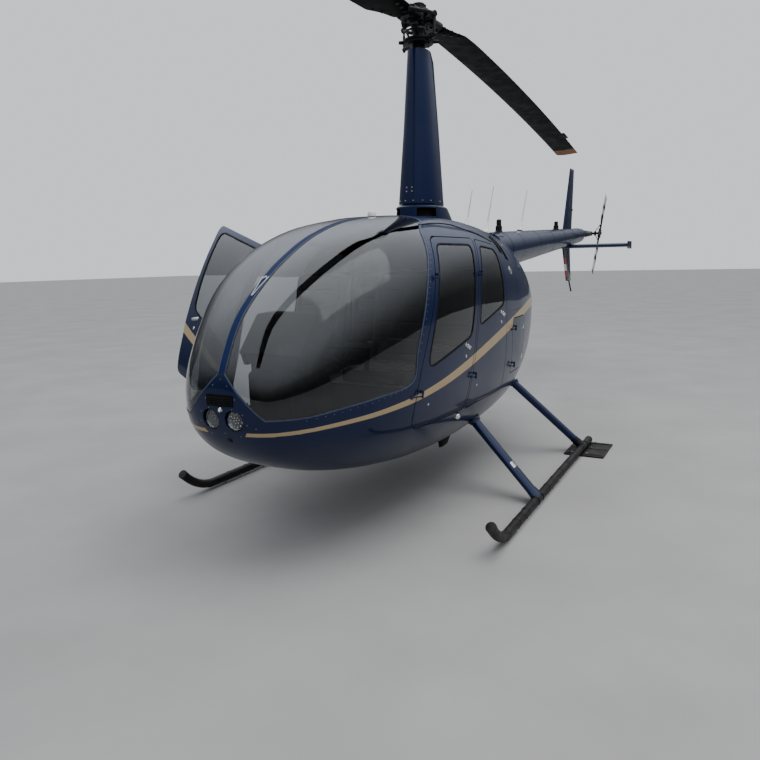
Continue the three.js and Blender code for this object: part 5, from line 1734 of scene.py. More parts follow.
def build_seams():
    """The drip rails over the doors, the rows of screws and the fuel caps."""
    drip = ((1.01, 0.455, 1.836), (0.791, 0.468, 1.857), (0.58, 0.485, 1.855), (0.476, 0.515, 1.835),
            (0.312, 0.55, 1.805), (0.162, 0.575, 1.78), (0.02, 0.59, 1.755))
    rails = bmesh.new()
    for side in (1, -1):
        line = smooth_line([Vector((x, side * y, z)) for x, y, z in drip], 8)
        add_tube(rails, [snapped(*point) for point in line], 0.0042, 8, 1)
    finished("roof_drip_rails", rails, RUBBER, "root", "black_metal", recalculate=True)
    behind_glass = grown([*WINDSHIELD_REAR[:-1], (0.5, 1.95), (0.5, 0.955)], -0.018)[1:7]
    behind_glass = [(point.x, point.y) for point in smooth_line([Vector((x, z, 0)) for x, z in behind_glass], 5)]
    sill, sill_heights = (1.566, 1.844, 2.056, 2.25), (0.955, 0.911, 0.884, 0.862)
    below_glass = [1.62 + (2.2 - 1.62) * step / 14 for step in range(15)]
    below_glass = [(station, float(np.interp(station, sill, sill_heights)) - 0.018) for station in below_glass]
    hull_end = [(-0.048, 0.5 + (1.72 - 0.5) * step / 21) for step in range(22)]
    hull_end = [(station, height) for station, height in hull_end if not 1.6 < height < 1.72]
    cowl_foot = [(-0.09 - 1.62 * step / 23, COWL_SPLIT + 0.016) for step in range(24)]
    studs = bmesh.new()
    for side in (1, -1):
        add_studs_at(studs, behind_glass, side)
        add_studs_at(studs, below_glass, side, 0.0026)
        add_studs_at(studs, hull_end + cowl_foot, side)
    finished("panel_screws", studs, DULL, "root", "bare_metal")
    caps = bmesh.new()
    for side in (1, -1):
        small = bmesh.new()
        add_turned(small, [(0, -0.001), (0.031, -0.001), (0.031, 0.002), (0.028, 0.0042), (0.022, 0.003),
                           (0.01, 0.0042), (0, 0.0042)], ORIGIN, Z_AXIS, 40)
        add_block(small, (-0.02, -0.005, 0.0036), (0.02, 0.005, 0.0075), 0.0015)
        add_placed(caps, small, skin_frame(-0.14, 1.535, side))
    finished("fuel_caps", caps, STEEL, "root", "bare_metal", recalculate=True)


def build_antennas():
    whips, bases, stubs = bmesh.new(), bmesh.new(), bmesh.new()
    for station, top, rake in ((-0.98, 2.24, 0.15), (-1.51, 2.33, 0.22), (-2.64, 2.39, 0.26)):
        low = roof_point(station) if station > -1.8 else cone_point(station, 0)
        tip = Vector((low.x - rake, 0, top))
        lean = (tip - low).normalized()
        add_turned(bases, [(0, -0.008), (0.038, -0.008), (0.038, 0.004), (0.028, 0.016), (0.016, 0.06),
                           (0.0095, 0.104), (0.0075, 0.11), (0, 0.11)], low, lean, 24)
        add_rod(whips, low + lean * 0.05, tip, 0.0074, 0.0042, 10)
        add_ball(whips, tip, 0.0047, sides=8)
    for station, top in ((-1.9, 2.02), (-4.26, 2.1)):
        low = cone_point(station, 0)
        high = top - low.z
        add_turned(stubs, [(0, -0.006), (0.04, -0.006), (0.04, 0.004), (0.034, 0.01), (0.033, high * 0.45),
                           (0.025, high * 0.5), (0.025, high * 0.92), (0.018, high), (0, high)],
                   low, (-0.02, 0, 1), 28)
    dome = bmesh.new()
    spot = roof_point(0.78)
    add_turned(dome, [(0, -0.008), (0.03, -0.008), (0.031, 0.002), (0.027, 0.02), (0.022, 0.034), (0.014, 0.04),
                      (0, 0.042)], spot, (0.05, 0, 1), 36)
    finished("antenna_whips", whips, PALE_BLADE, "root", "black_metal")
    finished("antenna_bases", bases, WHITE, "root", "black_metal", recalculate=True)
    finished("antenna_stubs", stubs, BLACK, "root", "black_metal", recalculate=True)
    finished("roof_dome", dome, WHITE, "root", "black_metal", recalculate=True)
    finished("belly_blade_antenna", closed_grid(belly_blade, 14, 32), RUBBER, "root", "black_metal")
    pipes = bmesh.new()
    for station, across, drop in ((0.05, 0.3, 0.06), (-0.1, 0.24, 0.05), (-0.42, 0.2, 0.05), (-0.42, -0.22, 0.05)):
        start = at(station, across, skin_z(station, across, False) + 0.01)
        add_tube(pipes, [start, start + Vector((-0.004, 0, -0.02)), start + Vector((-0.02, 0, -drop))], 0.0055, 10, 4)
    finished("belly_drain_pipes", pipes, STEEL, "root", "bare_metal", recalculate=True)


def belly_blade(u, v):
    """The dark blade below the hull: a long teardrop that thins towards its foot."""
    depth = 0.088 * u
    fore, side = wing_section((0.58 - 0.02 * u, 0.3 + 0.1 * u, 0.036 - 0.01 * u, 1.0), v)
    across = 0.39
    height = skin_z(0.44, across, False) + 0.012 - depth
    return at(fore, across + side, height)


# Nose
def nose_x(across, height):
    """How far forward the nose reaches at a point of the front view."""
    low, high = 1.8, 2.385
    for _ in range(26):
        middle = (low + high) / 2
        top, bottom, half, waist, upper, lower = section(middle)
        power, reach = (upper, top - waist) if height > waist else (lower, waist - bottom)
        if (abs(across) / half) ** power + (abs(height - waist) / reach) ** power < 1:
            low = middle
        else:
            high = middle
    return low + MAST


def nose_frame(across, height):
    """A frame on the nose: X to the left, Y up, Z forwards out of the skin."""
    point = Vector((nose_x(across, height), across, height))
    away = skin_normal(point)
    left = (Vector(Y_AXIS) - away * away.y).normalized()
    return Matrix.Translation(point) @ Matrix((left, away.cross(left), away)).transposed().to_4x4()


def nose_patch(outline):
    shape = skin_region(keep=[((2.1, 0.2), (2.1, 1.3), (2.5, 1.3), (2.5, 0.2))])
    carve(shape, outline, FRONT_VIEW, True)
    return shape


def build_nose():
    vent = [(-0.083, 0.932), (-0.083, 0.981), (0.083, 0.981), (0.083, 0.932)]
    # The vent is not recessed: its back is a black patch lifted onto the nose skin, painted shade of the opening,
    # under a black rim and slats.
    panel("nose_vent_back", nose_patch(vent), "root", "black_metal", MESH, 0.0015, 0.0003, edge=0)
    rim = nose_patch(grown(vent, 0.005))
    carve(rim, grown(vent, -0.003), FRONT_VIEW)
    panel("nose_vent_rim", rim, "root", "blue_paint", MESH, 0.002, 0.0022, edge=0.0006)
    slats = bmesh.new()
    for step in range(4):
        height = 0.94 + 0.011 * step

        def slat_place(u, v, height=height):
            across = 0.16 * (u - 0.5)
            return Vector((nose_x(across, height) + 0.0006 + 0.003 * v, across, height - 0.004 * v))

        part = grid_of(slat_place, 16, 2)
        bmesh.ops.solidify(part, geom=part.faces[:], thickness=0.001)
        join(slats, part)
    finished("nose_vent_slats", slats, MESH, "root", "black_metal", recalculate=True)
    screws = bmesh.new()
    for across, height in ((-0.072, 0.915), (0.074, 0.915), (-0.092, 0.962), (0.092, 0.965), (0.148, 0.838),
                           (-0.148, 0.838), (0.132, 0.89),
                           (-0.132, 0.89), (0.094, 0.773), (-0.094, 0.773), (0.0, 0.783), (0.045, 1.03),
                           (-0.045, 1.03), (0.19, 0.82),
                           (-0.19, 0.82), (0.0, 1.06)):
        place = nose_frame(across, height)
        add_stud(screws, place.translation, place.col[2].to_3d(), 0.0032)
    finished("nose_screws", screws, DULL, "root", "bare_metal")
    ball = bmesh.new()
    add_turned(ball, [(0, -0.002), (0.0125, -0.002), (0.0125, 0.003), (0.0105, 0.0045), (0, 0.0045)],
               ORIGIN, Z_AXIS, 28)
    add_ball(ball, (0, 0, 0.009), 0.0088, sides=20)
    ball.transform(nose_frame(0.006, 0.912))
    finished("nose_probe", ball, CHROME, "root", "bare_metal", recalculate=True)
    port = bmesh.new()
    add_block(port, (-0.014, -0.012, -0.002), (0.014, 0.012, 0.004), 0.003)
    add_turned(port, [(0, 0.003), (0.008, 0.003), (0.008, 0.006), (0.005, 0.0065), (0, 0.0045)], ORIGIN, Z_AXIS, 20)
    port.transform(nose_frame(0.012, 0.744))
    finished("nose_port", port, BLACK, "root", "black_metal", recalculate=True)
    line = ((2.089, 0.003, 1.453), (2.02, 0.003 + 0.017 / 2, 1.507), (1.962, 0.003 + 0.017, 1.547))
    tape = bmesh.new()
    for side in (1, -1):
        add_tube(tape, [snapped(x, side * across, z, 0.003) for x, across, z in line], 0.0016, 8, 5)
    add_tube(tape, [snapped(1.975, -0.012, 1.539, 0.0032), snapped(1.96, 0, 1.549, 0.0036),
                    snapped(1.975, 0.012, 1.539, 0.0032)], 0.0022, 8, 4)
    finished("yaw_telltale", tape, WHITE, "root", "black_metal", recalculate=True)
    for side, hand in SIDES:
        build_lamp(side, hand)


def build_lamp(side, hand):
    face = nose_x(side * (LAMP_Y + 0.036), LAMP_Z - 0.036) - 0.001
    centre = Vector((face, side * LAMP_Y, LAMP_Z))
    tilt = Vector((1, side * 0.1, 0.05)).normalized()

    def bore_place(u, v):
        turn = FULL_TURN * v
        across, height = side * LAMP_Y + 0.0535 * math.cos(turn), LAMP_Z + 0.0535 * math.sin(turn)
        front = nose_x(across, height) - 0.0012
        return Vector((face - 0.03 + (front - face + 0.03) * u, across, height))

    bore = grid_of(bore_place, 8, 48)
    bmesh.ops.remove_doubles(bore, verts=bore.verts, dist=1e-5)
    bmesh.ops.recalc_face_normals(bore, faces=bore.faces)
    tube = finished(f"nose_lamp_{hand}_bore", bore, BLUE, "root", "blue_paint")
    thick = tube.modifiers.new("wall", "SOLIDIFY")
    thick.thickness, thick.offset = 0.0015, 0
    bake(tube)
    bezel = bmesh.new()
    add_turned(bezel, [(0.0485, -0.02), (0.0525, -0.02), (0.0525, -0.003), (0.0515, -0.001), (0.05, 0.0),
                       (0.049, -0.002)],
               centre, tilt, 56)
    finished(f"nose_lamp_{hand}_bezel", bezel, BLACK, "root", "black_metal", recalculate=True)
    dish = bmesh.new()
    add_turned(dish, [(0, -0.018), (0.016, -0.0175), (0.03, -0.0155), (0.042, -0.0115), (0.049, -0.0045),
                      (0.049, -0.0235), (0, -0.0235)], centre, tilt, 56)
    finished(f"nose_lamp_{hand}_reflector", dish, LAMP_DISH, "root", "bare_metal", f"landing_lamp_{hand}",
             recalculate=True)
    beads, cups = bmesh.new(), bmesh.new()
    turn = tilt.to_track_quat("Z", "Y").to_matrix().to_4x4()
    rings = ((0.0, 1), (0.0165, 6), (0.0345, 11)) if side > 0 else ((0.0, 1), (0.015, 6), (0.029, 12), (0.041, 17))
    for reach, count in rings:
        for step in range(count):
            angle = FULL_TURN * step / count + reach * 9
            spot = (reach * math.cos(angle), reach * math.sin(angle))
            size = 0.0062 if side > 0 else 0.0052
            add_turned(cups, [(size * 0.5, -0.0165), (size, -0.0085), (size * 1.12, -0.0085), (size * 0.7, -0.0185)],
                       (*spot, 0), Z_AXIS, 12)
            add_ball(beads, (*spot, -0.0135), size * 0.62, sides=10)
    for part, name, look in ((cups, "cups", LAMP_DISH), (beads, "beads", LIT if side > 0 else SILVERED)):
        part.transform(Matrix.Translation(centre) @ turn)
        finished(f"nose_lamp_{hand}_{name}", part, look, "root", "bare_metal" if name == "cups" else "lamp_glass",
                 recalculate=True)
    lens = bmesh.new()
    add_turned(lens, [(0, -0.002), (0.032, -0.0024), (0.0492, -0.0036), (0.0492, -0.0056), (0.032, -0.0044),
                      (0, -0.004)], centre, tilt, 56)
    finished(f"nose_lamp_{hand}_lens", lens, CLEAR, "root", "lamp_glass", recalculate=True)


def build_side_lights():
    """The round light low on each side by the sill, and the tail light on the fin's trailing edge."""
    rims, lenses = bmesh.new(), bmesh.new()
    places = []
    for side in (1, -1):
        point = snapped(0.934, side * 0.675, 0.633)
        away = (skin_normal(point) + Vector((0.5, 0, 0))).normalized()
        places.append((point + away * 0.004, away, 0.021))
    places.append((Vector((row_at(UPPER_FIN, 2.3)[1] + MAST + 0.004, 0, 2.3)), Vector((-1, 0, 0.05)), 0.011))
    for point, away, radius in places:
        add_turned(rims, [(0, -0.02), (radius * 1.25, -0.02), (radius * 1.25, 0.002), (radius * 1.1, 0.006),
                          (radius, 0.004), (0, 0.002)], point, away, 32)
        add_turned(lenses, [(0, 0.001), (radius, 0.001), (radius * 0.95, 0.006), (radius * 0.7, 0.012),
                            (radius * 0.35, 0.0155), (0, 0.0165)], point, away, 32)
    finished("position_light_rims", rims, BLACK, "root", "black_metal", recalculate=True)
    finished("position_light_lenses", lenses, SILVERED, "root", "lamp_glass", recalculate=True)


def build_strut_details():
    for side, hand in SIDES:
        straps = bmesh.new()
        for name, foot, top in STRUTS:
            start, end = strut_ends(side, foot, top)
            reach = (end - start) * 1.13

            def wrap(u, share, low, high, swell=1.03):
                return round_strut(start + reach * (low + (high - low) * u), side, share, swell)

            if name == "front":
                def patch_place(u, v):
                    return wrap(u, 0.1 + 0.18 * v if side > 0 else 0.9 - 0.18 * v, 0.335, 0.395)

                patch = grid_of(patch_place, 4, 12)
                bmesh.ops.recalc_face_normals(patch, faces=patch.faces)
                finished(f"front_{hand}_strut_patch", patch, STEEL, "root", "bare_metal")
            else:
                for low in (0.075, 0.1):
                    join(straps, closed_grid(lambda u, v, a=low: wrap(u, v, a, a + 0.014, 1.08), 3, 40, cap=False))
        finished(f"{hand}_strut_straps", straps, RUBBER, "root", "black_metal", recalculate=True)


# Cabin
def rounded_pad(low, high, lean=0.0, crown=0.0):
    """A soft block: rounded edges, sides that pull in between the corners, and a lean with height."""
    pull, power, cuts = 0.035, 9, 11
    shape = bmesh.new()
    bmesh.ops.create_cube(shape, size=2)
    bmesh.ops.subdivide_edges(shape, edges=shape.edges[:], cuts=cuts, use_grid_fill=True)
    middle, half = (Vector(high) + Vector(low)) / 2, (Vector(high) - Vector(low)) / 2
    for point in shape.verts:
        a, b, c = point.co
        size = (abs(a) ** power + abs(b) ** power + abs(c) ** power) ** (1 / power)
        a, b, c = a / size, b / size, c / size
        if lean:
            b, c = b * (1 - pull * (1 - c * c)), c * (1 - pull * (1 - b * b))
            a *= 1 + crown * (1 - b * b) * (1 - c * c)
        else:
            a, b = a * (1 - pull * (1 - b * b)), b * (1 - pull * (1 - a * a))
            c *= 1 + (crown * (1 - a * a) * (1 - b * b) if c > 0 else 0)
        height = middle.z + c * half.z
        point.co = (middle.x + a * half.x + lean * (height - low[2]), middle.y + b * half.y, height)
    return shape


def swell(piece, cap, voxel=0.007):
    """Inflates a pad as cloth under pressure, with its base held, and stops every point at the cap."""
    even = piece.modifiers.new("even", "REMESH")
    even.mode, even.voxel_size = "VOXEL", voxel
    bake(piece)
    mesh = piece.data
    start = np.empty(len(mesh.vertices) * 3)
    mesh.vertices.foreach_get("co", start)
    base = start[2::3].min() + 0.006
    held = piece.vertex_groups.new(name="base")
    held.add([int(i) for i in np.flatnonzero(start[2::3] < base)], 1.0, "REPLACE")
    cloth = piece.modifiers.new("swell", "CLOTH")
    cloth.settings.use_pressure = True
    cloth.settings.uniform_pressure_force = 4
    cloth.settings.vertex_group_mass = "base"
    cloth.settings.effector_weights.gravity = 0
    for step in range(1, 21):
        bpy.context.scene.frame_set(step)
    blown = piece.evaluated_get(bpy.context.evaluated_depsgraph_get()).data
    end = np.empty(len(mesh.vertices) * 3)
    blown.vertices.foreach_get("co", end)
    piece.modifiers.clear()
    piece.vertex_groups.clear()
    move = (end - start).reshape(-1, 3)
    length = np.linalg.norm(move, axis=1, keepdims=True)
    move *= np.minimum(1, cap / np.maximum(length, 1e-9))
    mesh.vertices.foreach_set("co", start + move.ravel())
    mesh.update()
    bpy.context.scene.frame_set(1)
    fine = piece.modifiers.new("fine", "SUBSURF")
    fine.levels = fine.render_levels = 1
    bake(piece, 60)


def sew(piece, lines, axes, facing):
    """Presses sewn channels into the side of a pad that faces one way."""
    depth, width = 0.006, 0.006
    mesh = piece.data
    count = len(mesh.vertices)
    places, normals = np.empty(count * 3), np.empty(count * 3)
    mesh.vertices.foreach_get("co", places)
    mesh.vertices.foreach_get("normal", normals)
    places, normals = places.reshape(-1, 3), normals.reshape(-1, 3)
    flat = places[:, list(axes)]
    press = np.zeros(count)
    for start, end in lines:
        start, end = np.array(start), np.array(end)
        along = end - start
        share = np.clip((flat - start) @ along / (along @ along), 0, 1)
        away = np.linalg.norm(flat - start - share[:, None] * along, axis=1)
        press = np.maximum(press, np.exp(-(away / width) ** 2))
    towards = np.clip((normals @ np.array(facing) - 0.3) / 0.4, 0, 1)
    places -= np.array(facing) * (depth * press * towards)[:, None]
    mesh.vertices.foreach_set("co", places.ravel())
    mesh.update()


def laid_on(tree, points, facing, lift):
    """Points dropped onto a pad against the way its face looks."""
    facing = Vector(facing)
    line = []
    for point in points:
        hit = tree.ray_cast(Vector(point) + facing * 0.5, -facing, 1.2)
        if hit[0] is not None:
            line.append((hit[0] + facing * lift, hit[1]))
    return line


def mirrored(piece, name, body, slot):
    """The same pad for the other side of the cabin."""
    shape = bmesh.new()
    shape.from_mesh(piece.data)
    shape.transform(Matrix.Scale(-1, 4, Y_AXIS))
    bmesh.ops.reverse_faces(shape, faces=shape.faces)
    return finished(name, shape, list(piece.data.materials), body, slot, sharp=60)


def ribbon(shape, line):
    """Flat webbing along points that each come with the direction it lies against."""
    width, thick = 0.046, 0.0022
    count = len(line) - 1

    def place(u, v):
        index = round(u * count)
        point, away = line[index]
        along = (line[min(index + 1, count)][0] - line[max(index - 1, 0)][0]).normalized()
        across = along.cross(away).normalized()
        return point + across * width * (v - 0.5) * (1 if 0 < index < count else 0.94)

    part = grid_of(place, count, 4)
    bmesh.ops.solidify(part, geom=part.faces[:], thickness=thick)
    bmesh.ops.recalc_face_normals(part, faces=part.faces)
    join(shape, part)


def build_seat(name, x, y_low, y_high, lean, stands_for):
    """A cushion and a backrest, sewn and piped, with its mirror image on the other side."""
    top = 0.89
    seat_low, seat_high = (
        (x + 0.085 + MAST, y_low + 0.01, top + 0.002), (x + 0.462 + MAST, y_high - 0.01, top + 0.086))
    back_low, back_high = (
        (x + 0.02 + MAST, y_low + 0.014, top + 0.07), (x + 0.1 + MAST, y_high - 0.014, top + 0.682))
    slope = -lean / 0.585
    middle, half = (y_low + y_high) / 2, (y_high - y_low) / 2
    cushion = finished(f"{name}_left_cushion", rounded_pad(seat_low, seat_high, crown=0.16), LEATHER, "root",
                       "seat_cover")
    backrest = finished(f"{name}_left_backrest", rounded_pad(back_low, back_high, lean=slope, crown=0.1), LEATHER,
                        "root", "seat_cover")
    for pad in (cushion, backrest):
        swell(pad, 0.011, 0.008)
    bolster = half * 0.62
    front, rear = seat_high[0] - 0.035, seat_low[0] + 0.045
    right, left = middle - bolster, middle + bolster
    rows = [((rear + (front - rear) * k / 4, right), (rear + (front - rear) * k / 4, left)) for k in range(1, 4)]
    rails = [((rear - 0.02, across), (front + 0.02, across)) for across in (left, right)]
    sew(cushion, [*rows, *rails], (0, 1), Z_AXIS)
    low, high = back_low[2] + 0.07, back_high[2] - 0.04
    rows = [((right, low + (high - low) * k / 5), (left, low + (high - low) * k / 5)) for k in range(6)]
    rails = [((across, low), (across, high)) for across in (left, right)]
    sew(backrest, [*rows, *rails], (1, 2), X_AXIS)
    held = bpy.context.evaluated_depsgraph_get()
    seat_tree, back_tree = (BVHTree.FromObject(pad, held) for pad in (cushion, backrest))
    piping = bmesh.new()
    steps = [FULL_TURN * k / 72 for k in range(73)]

    def loop(a, b, share):
        along, up = math.cos(share), math.sin(share)
        return math.copysign(abs(along) ** 0.35, along) * a, math.copysign(abs(up) ** 0.35, up) * b

    seat_mid = (seat_low[0] + seat_high[0]) / 2
    reach = ((seat_high[0] - seat_low[0]) / 2 - 0.024, half - 0.034)
    ring = [loop(*reach, share) for share in steps]
    line = laid_on(seat_tree, [(seat_mid + a, middle + b, top) for a, b in ring], Z_AXIS, 0.0012)
    add_tube(piping, [point for point, _ in line], 0.0036, 8, 1)
    back_mid, back_half = (back_low[2] + back_high[2]) / 2, (back_high[2] - back_low[2]) / 2
    ring = [loop(half - 0.036, back_half - 0.024, share) for share in steps]
    line = laid_on(back_tree, [(back_low[0], middle + a, back_mid + b) for a, b in ring], X_AXIS, 0.0012)
    add_tube(piping, [point for point, _ in line], 0.0036, 8, 1)
    belts, buckles = bmesh.new(), bmesh.new()
    inner = middle - half * 0.52
    shoulder = []
    for k in range(15):
        across = middle + half * 0.45 + (inner - middle - half * 0.45) * k / 14
        shoulder.append((back_low[0], across, back_high[2] - 0.012 - (back_high[2] - 1.03) * k / 14))
    ribbon(belts, laid_on(back_tree, shoulder, X_AXIS, 0.003))
    for start, end in ((middle + half * 0.86, middle + 0.02), (middle - half * 0.86, middle - 0.05)):
        lap = [(seat_low[0] + 0.075 + 0.05 * (k / 10), start + (end - start) * k / 10, top) for k in range(11)]
        ribbon(belts, laid_on(seat_tree, lap, Z_AXIS, 0.003))
    line = laid_on(seat_tree, [(seat_low[0] + 0.125, middle - 0.02, top)], Z_AXIS, 0.006)
    spot = line[0][0]
    add_block(buckles, spot - Vector((0.03, 0.042, 0.005)), spot + Vector((0.03, 0.038, 0.012)), 0.005)
    add_block(buckles, spot - Vector((0.022, 0.026, -0.01)), spot + Vector((0.022, 0.012, 0.016)), 0.002)
    pieces = {"cushion": cushion, "backrest": backrest}
    for part, label, look in ((piping, "piping", TRIM), (belts, "belts", WEBBING), (buckles, "buckle", CHROME)):
        slot = "bare_metal" if label == "buckle" else "seat_cover"
        pieces[label] = finished(f"{name}_left_{label}", part, look, "root", slot, recalculate=label != "belts")
    copies = {}
    for label, piece in pieces.items():
        slot = "bare_metal" if label == "buckle" else "seat_cover"
        copies[label] = mirrored(piece, f"{name}_right_{label}", "root", slot)
    for piece, node in zip((cushion, copies["cushion"]), stands_for):
        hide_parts(node)


def prism(outline, low, high, rounding=0.0, segments=3):
    """A side-view outline of stations and heights, given its width across the cabin."""
    shape = bmesh.new()
    face = shape.faces.new([shape.verts.new(at(x, low, z)) for x, z in outline])
    made = bmesh.ops.extrude_face_region(shape, geom=[face])["geom"]
    moved = [item for item in made if isinstance(item, bmesh.types.BMVert)]
    bmesh.ops.translate(shape, verts=moved, vec=(0, high - low, 0))
    bmesh.ops.recalc_face_normals(shape, faces=shape.faces)
    if rounding:
        bmesh.ops.bevel(shape, geom=shape.edges[:], offset=rounding, segments=segments, profile=0.5,
                        affect="EDGES", material=-1)
    return shape


# The instrument face looks aft: its own X is to the right as the crew see it, Y up, Z towards them
FACE = Matrix.Translation(at(1.6515, 0, 1.17)) @ Matrix(((0, 0, -1), (-1, 0, 0), (0, 1, 0))).to_4x4()
GAUGES = (
    (-0.098, 0.112, 0.036, 40), (0.0, 0.112, 0.036, 150), (0.098, 0.112, 0.036, 260),
    (-0.098, 0.03, 0.036, 300), (0.0, 0.03, 0.036, 90), (0.098, 0.03, 0.036, 200),
    (-0.116, -0.04, 0.022, 20), (-0.06, -0.04, 0.022, 120), (0.06, -0.04, 0.022, 240),
    (0.116, -0.04, 0.022, 330),
)


def build_console():
    pedestal = prism([(1.978, 0.6432), (1.532, 0.6432), (1.562, 0.9), (1.64, 1.02), (1.78, 1.1), (1.978, 1.02)],
                     -0.15, 0.15, 0.012)
    join(pedestal, prism([(1.655, 1.015), (1.655, 1.322), (1.78, 1.322), (1.93, 1.15), (1.93, 1.0)], -0.165,
                         0.165, 0.01))
    finished("console_pedestal", pedestal, TRIM, "root", "cabin_trim", "instrument_console", recalculate=True)
    hood = prism([(1.59, 1.312), (1.596, 1.334), (1.66, 1.342), (1.8, 1.336), (1.975, 1.135), (1.962, 1.122),
                  (1.79, 1.318), (1.66, 1.326)],
                 -0.205, 0.205, 0.004, 2)
    for side in (1, -1):
        join(hood, prism([(1.596, 1.332), (1.8, 1.334), (1.972, 1.136), (1.94, 1.06), (1.7, 1.1), (1.64, 1.24)],
                         *sorted((side * 0.168, side * 0.205)), 0.008))
    finished("glare_shield", hood, HOOD, "root", "cabin_trim", recalculate=True)
    bezels, dials, marks = bmesh.new(), bmesh.new(), bmesh.new()
    add_block(bezels, (-0.15, -0.142, -0.004), (0.15, 0.15, 0.0), 0.0015)
    for across, up, radius, aim in GAUGES:
        add_turned(bezels, [(radius * 0.86, 0.001), (radius * 0.9, 0.0065), (radius, 0.0065), (radius * 1.08, 0.0035),
                            (radius * 1.1, -0.001),
                            (radius * 0.86, -0.001)], (across, up, 0), Z_AXIS, 36)
        add_turned(dials, [(0, 0.0004), (radius * 0.87, 0.0004), (radius * 0.87, 0.0016), (0, 0.0016)],
                   (across, up, 0), Z_AXIS, 36)
        for step in range(24):
            turn = math.radians(-135 + 270 * step / 23)
            long = 0.22 if step % 4 == 0 else 0.12
            part = bmesh.new()
            add_block(part, (-radius * 0.018, radius * (0.8 - long), 0.0016), (radius * 0.018, radius * 0.8, 0.002))
            add_placed(marks, part, Matrix.Translation((across, up, 0)) @ Matrix.Rotation(turn, 4, "Z"))
        needle = bmesh.new()
        add_block(needle, (-radius * 0.035, -radius * 0.18, 0.0024), (radius * 0.035, radius * 0.62, 0.003), 0.0002)
        add_rod(needle, (0, 0, 0.0016), (0, 0, 0.0038), radius * 0.09, None, 14)
        add_placed(marks, needle, Matrix.Translation((across, up, 0)) @ Matrix.Rotation(math.radians(aim), 4, "Z"))
        for k in range(4):
            turn = math.pi / 4 + math.pi / 2 * k
            add_stud(bezels, (across + radius * 1.22 * math.cos(turn), up + radius * 1.22 * math.sin(turn), 0.0005),
                     Z_AXIS, 0.002)
    for part in (bezels, dials, marks):
        part.transform(FACE)
    finished("instrument_bezels", bezels, BLACK, "root", "black_metal", recalculate=True)
    finished("instrument_dials", dials, MESH, "root", "black_metal", recalculate=True)
    finished("instrument_marks", marks, WHITE, "root", "cabin_trim", recalculate=True)
    radios, screens = bmesh.new(), bmesh.new()
    for up in (-0.086, -0.128):
        add_block(radios, (-0.08, up - 0.019, -0.02), (0.08, up + 0.019, 0.008), 0.002)
        add_block(screens, (-0.046, up - 0.01, 0.006), (0.046, up + 0.011, 0.0088), 0.001)
        for side in (1, -1):
            add_turned(radios, [(0, 0.006), (0.0085, 0.006), (0.0082, 0.018), (0.0072, 0.02), (0, 0.02)],
                       (side * 0.064, up, 0), Z_AXIS, 20)
            add_turned(radios, [(0, 0.018), (0.0046, 0.018), (0.0043, 0.027), (0, 0.0275)],
                       (side * 0.064, up, 0), Z_AXIS, 16)
        for k in range(4):
            add_block(radios, (-0.03 + 0.018 * k, up - 0.0165, 0.007), (-0.018 + 0.018 * k, up - 0.0125, 0.0098),
                      0.0008)
    for part in (radios, screens):
        part.transform(FACE)
    finished("radio_stack", radios, BLACK, "root", "black_metal", recalculate=True)
    finished("radio_screens", screens, SCREEN, "root", "lamp_glass", recalculate=True)
    bar, pads = bmesh.new(), bmesh.new()
    x, z = 1.94 + MAST, 0.69
    add_rod(bar, (x, -0.41, z), (x, 0.41, z), 0.0105, None, 20)
    for y in (-0.37, -0.23, 0.23, 0.37):
        add_tube(bar, [(x, y, z), (x - 0.004, y, z + 0.05), (x, y, z + 0.1)], 0.0065, 10, 3)
        add_block(pads, (x - 0.009, y - 0.038, z + 0.055), (x + 0.003, y + 0.038, z + 0.15), 0.004)
        for k in range(6):
            add_block(pads, (x - 0.012, y - 0.032, z + 0.064 + 0.0145 * k),
                      (x - 0.008, y + 0.032, z + 0.07 + 0.0145 * k), 0.001)
    for y in (-0.405, 0.405, -0.16, 0.16):
        add_block(bar, (x - 0.02, y - 0.008, 0.6425), (x + 0.02, y + 0.008, z + 0.012), 0.003)
    finished("pedal_bar", bar, BLACK, "root", "black_metal", recalculate=True)
    finished("pedal_pads", pads, RUBBER, "root", "black_metal", recalculate=True)


